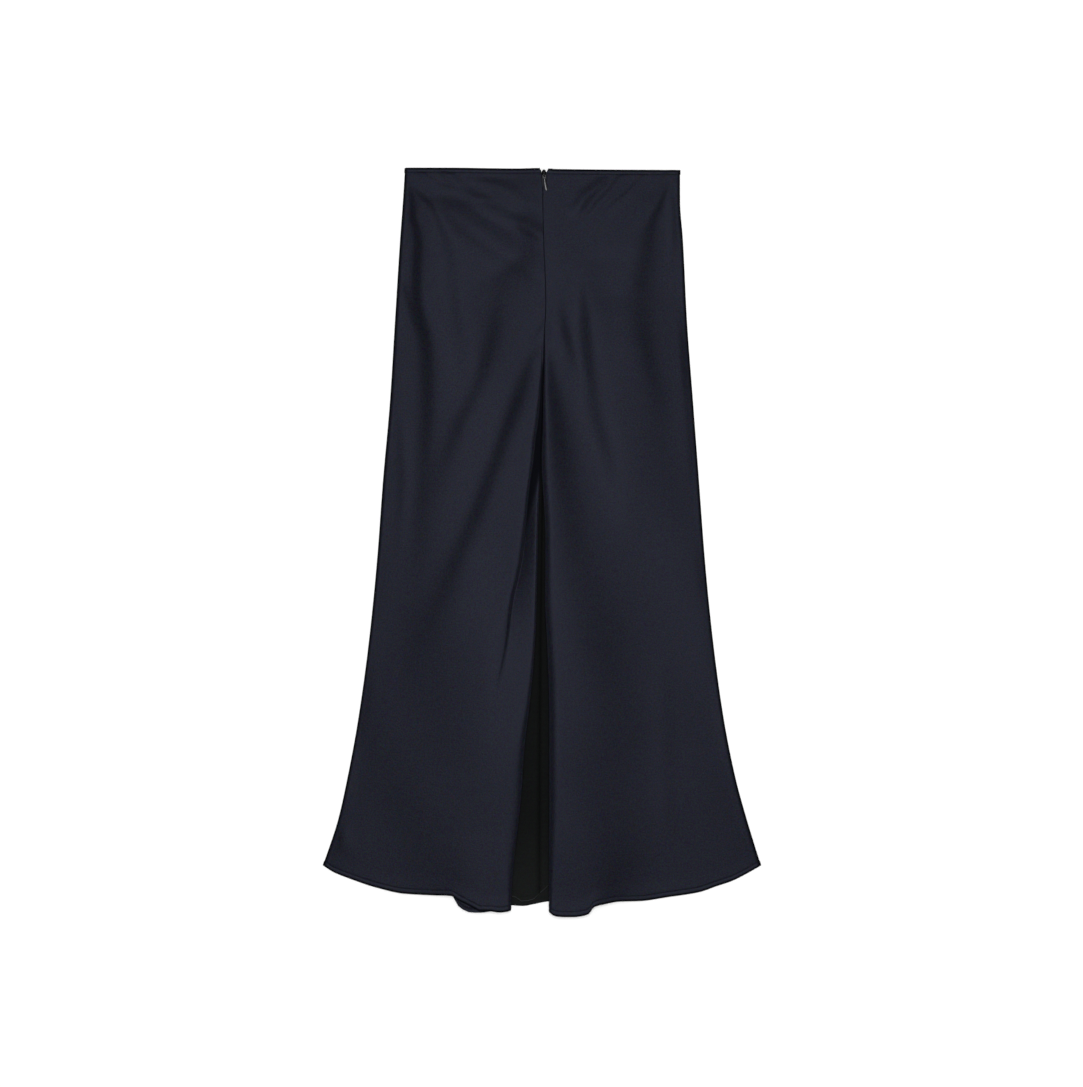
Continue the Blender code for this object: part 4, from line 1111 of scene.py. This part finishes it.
def make_pull(metal):
    """The drop-shaped pull: a round-edged eye and a drop, bevelled to one side."""
    def ring_point(angle, width, length, middle):
        return np.array([width / 2 * math.cos(angle), middle + length / 2 * math.sin(angle), 0.0])

    around = np.linspace(0, 2 * math.pi, 15)[:-1]
    rings = []
    for angle in np.linspace(0, 2 * math.pi, 33)[:-1]:
        outer = ring_point(angle, *EYE_OUTSIDE)
        inner = ring_point(angle, *EYE_HOLE)
        centre, reach = (outer + inner) / 2, (outer - inner) / 2
        up = np.array([0, 0, PULL_THICK / 2])
        rings.append([centre + reach * math.cos(t) + up * math.sin(t) for t in around])
    eye = loft(rings, closed=True)
    rings = []
    even_to, count = DROP_EVEN
    tip = DROP["end"] - (DROP["end"] - even_to) * np.array(DROP_TIP)
    for down in np.concatenate([np.linspace(DROP["from"], even_to, count), tip]):
        half = mix(DROP["neck"], DROP["wide"], min(1.0, ((down - DROP["from"]) / DROP["widens_over"]) ** 0.6))
        if down > DROP["round_from"]:
            into_end = (down - DROP["round_from"]) / (DROP["end"] - DROP["round_from"])
            half = DROP["wide"] * math.sqrt(max(0.0, 1 - into_end**2))
        thick = PULL_THICK / 2 * min(1.0, 0.25 + half)
        rings.append([(u * half, -down, z * thick) for u, z in DROP_SECTION])
    pull = solid_object("zip_pull_drop", (eye, loft(rings)), metal)
    lie = Matrix.Rotation(PULL_TURN[0], 4, "Z") @ Matrix.Rotation(PULL_TURN[1], 4, "X")
    x, down, z = HINGE_AT
    pull.data.transform(Matrix.Translation(Vector((x, WAIST_ABOVE_ORIGIN - down, z)) * MM) @ lie)
    return pull


def make_tapes(weave):
    """The zip's woven tapes, side by side as one band that follows the centre back."""
    down = np.linspace(*TAPE_ENDS, 60)[None, :]
    across = np.linspace(-TAPE_HALF, TAPE_HALF, 25)[:, None]
    x = along(CENTRE_BACK, "x", down) + across
    grid = np.stack([x, down + 0 * across, np.full(x.shape, TAPE_MID)], axis=2)
    tapes = sheet_from_grid("zip_tapes", grid, np.zeros(x.shape, bool), weave)
    tapes.modifiers["thickness"].thickness = TAPE_THICK * MM
    return tapes


def make_coil(weave):
    """The nylon coil: one small turn after another across the gap between the tapes."""
    vertices, faces = [], []
    height = TAPE_MID + TAPE_THICK / 2 + 0.02
    for down in np.arange(TAPE_ENDS[0] + 9, TAPE_ENDS[1] - 2, COIL_PITCH):
        centre = along(CENTRE_BACK, "x", down)
        base = len(vertices)
        for across, slant in ((-2.0, -0.25), (-1.0, -0.1), (1.0, 0.1), (2.0, 0.25)):
            for angle in np.linspace(0, 2 * math.pi, 7)[:-1]:
                y = WAIST_ABOVE_ORIGIN - down + slant + 0.32 * math.cos(angle)
                vertices.append(np.array([centre + across, y, height + 0.2 * math.sin(angle)]) * MM)
        for ring in range(3):
            a = base + ring * 6
            faces += [(a + j, a + (j + 1) % 6, a + 6 + (j + 1) % 6, a + 6 + j) for j in range(6)]
        faces += [tuple(base + j for j in reversed(range(6))), tuple(base + 18 + j for j in range(6))]
    return mesh_object("zip_coil", vertices, faces, weave)


def main():
    """Makes every piece and hangs it on its CAD body; returns the sheets of cloth."""
    thread, weave = thread_material(), tape_material()
    # the front shows only inside the pleat, so it takes the pleat's painted-shade copy of the satin
    front_cloth = satin_material("inside_front", GRAIN_ANGLE["right"], inside=True)
    sheets, paths = [], []
    for side, angle in (("left", GRAIN_ANGLE["left"]), ("right", GRAIN_ANGLE["right"])):
        cloth = satin_material(f"satin_{side}", angle, shaded=True)
        # the pleat's return and underlay take its painted-shade copy of the satin
        sheet, its_paths = make_back_panel(side, cloth, satin_material(f"inside_{side}", angle, inside=True))
        sheets.append(sheet)
        paths += its_paths
    left, right = sheets
    front, front_paths = make_front_panel(front_cloth)
    seams = stitches("stitching", paths + front_paths, thread)
    tapes, coil = make_tapes(weave), make_coil(weave)
    slider = make_slider(metal_material("zip_black", *ZIP_BLACK))
    pull = make_pull(metal_material("zip_steel", *ZIP_STEEL))
    for piece, body, slot, node in (
        (left, "skirt", "satin", "back_left_panel"),
        (right, "skirt", "satin", "back_right_panel"),
        (front, "skirt", "satin", "front_panel"),
        (seams, "skirt", "satin", None),
        (tapes, "skirt", "zip_tape", "zip_tape"),
        (coil, "skirt", "zip_tape", None),
        (slider, "skirt", "zip_metal", "zip_slider"),
        (pull, "pull", "zip_metal", "zip_pull"),
    ):
        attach(piece, body)
        if node:
            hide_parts(node)
    return left, right, front, tapes


left, right, front, tapes = main()

# ---------------------------------------------------------------- camera, floor and light
bpy.ops.mesh.primitive_plane_add(size=FLOOR_SIZE, location=(0, 0, 0))
floor = bpy.context.object
floor.name = "floor"
floor.data.materials.append(floor_material())

camera_data = bpy.data.cameras.new("camera")
camera_data.lens = LENS
camera_data.sensor_width = SENSOR
camera = bpy.data.objects.new("camera", camera_data)
bpy.context.scene.collection.objects.link(camera)
x, y, surface = CAMERA_OVER
camera.location = (x, y, surface + PHOTO_HEIGHT / 2 * LENS / (SENSOR / 2))
bpy.context.scene.camera = camera


def softbox(name, location, aim, size, power):
    """A rectangular light that the camera doesn't see."""
    light = bpy.data.lights.new(name, "AREA")
    light.shape = "RECTANGLE"
    light.size, light.size_y = size
    light.energy = power
    obj = bpy.data.objects.new(name, light)
    bpy.context.scene.collection.objects.link(obj)
    obj.location = location
    obj.rotation_euler = (Vector(aim) - Vector(location)).to_track_quat("-Z", "Y").to_euler()
    obj.visible_camera = False


softbox("front_softbox", **FRONT_LIGHT)
for name, x, y in LOW_LIGHTS:
    location = (x, y, LOW_LIGHT["height"])
    softbox(f"{name}_softbox", location, (0, 0, 0), LOW_LIGHT["size"], LOW_LIGHT["power"])

world = bpy.data.worlds.new("studio")
world.use_nodes = True
background = world.node_tree.nodes["Background"].inputs
background["Color"].default_value = (1, 1, 1, 1)
background["Strength"].default_value = WORLD_STRENGTH
bpy.context.scene.world = world
bpy.context.scene.view_settings.view_transform = "Standard"
bpy.context.scene.view_settings.look = "None"
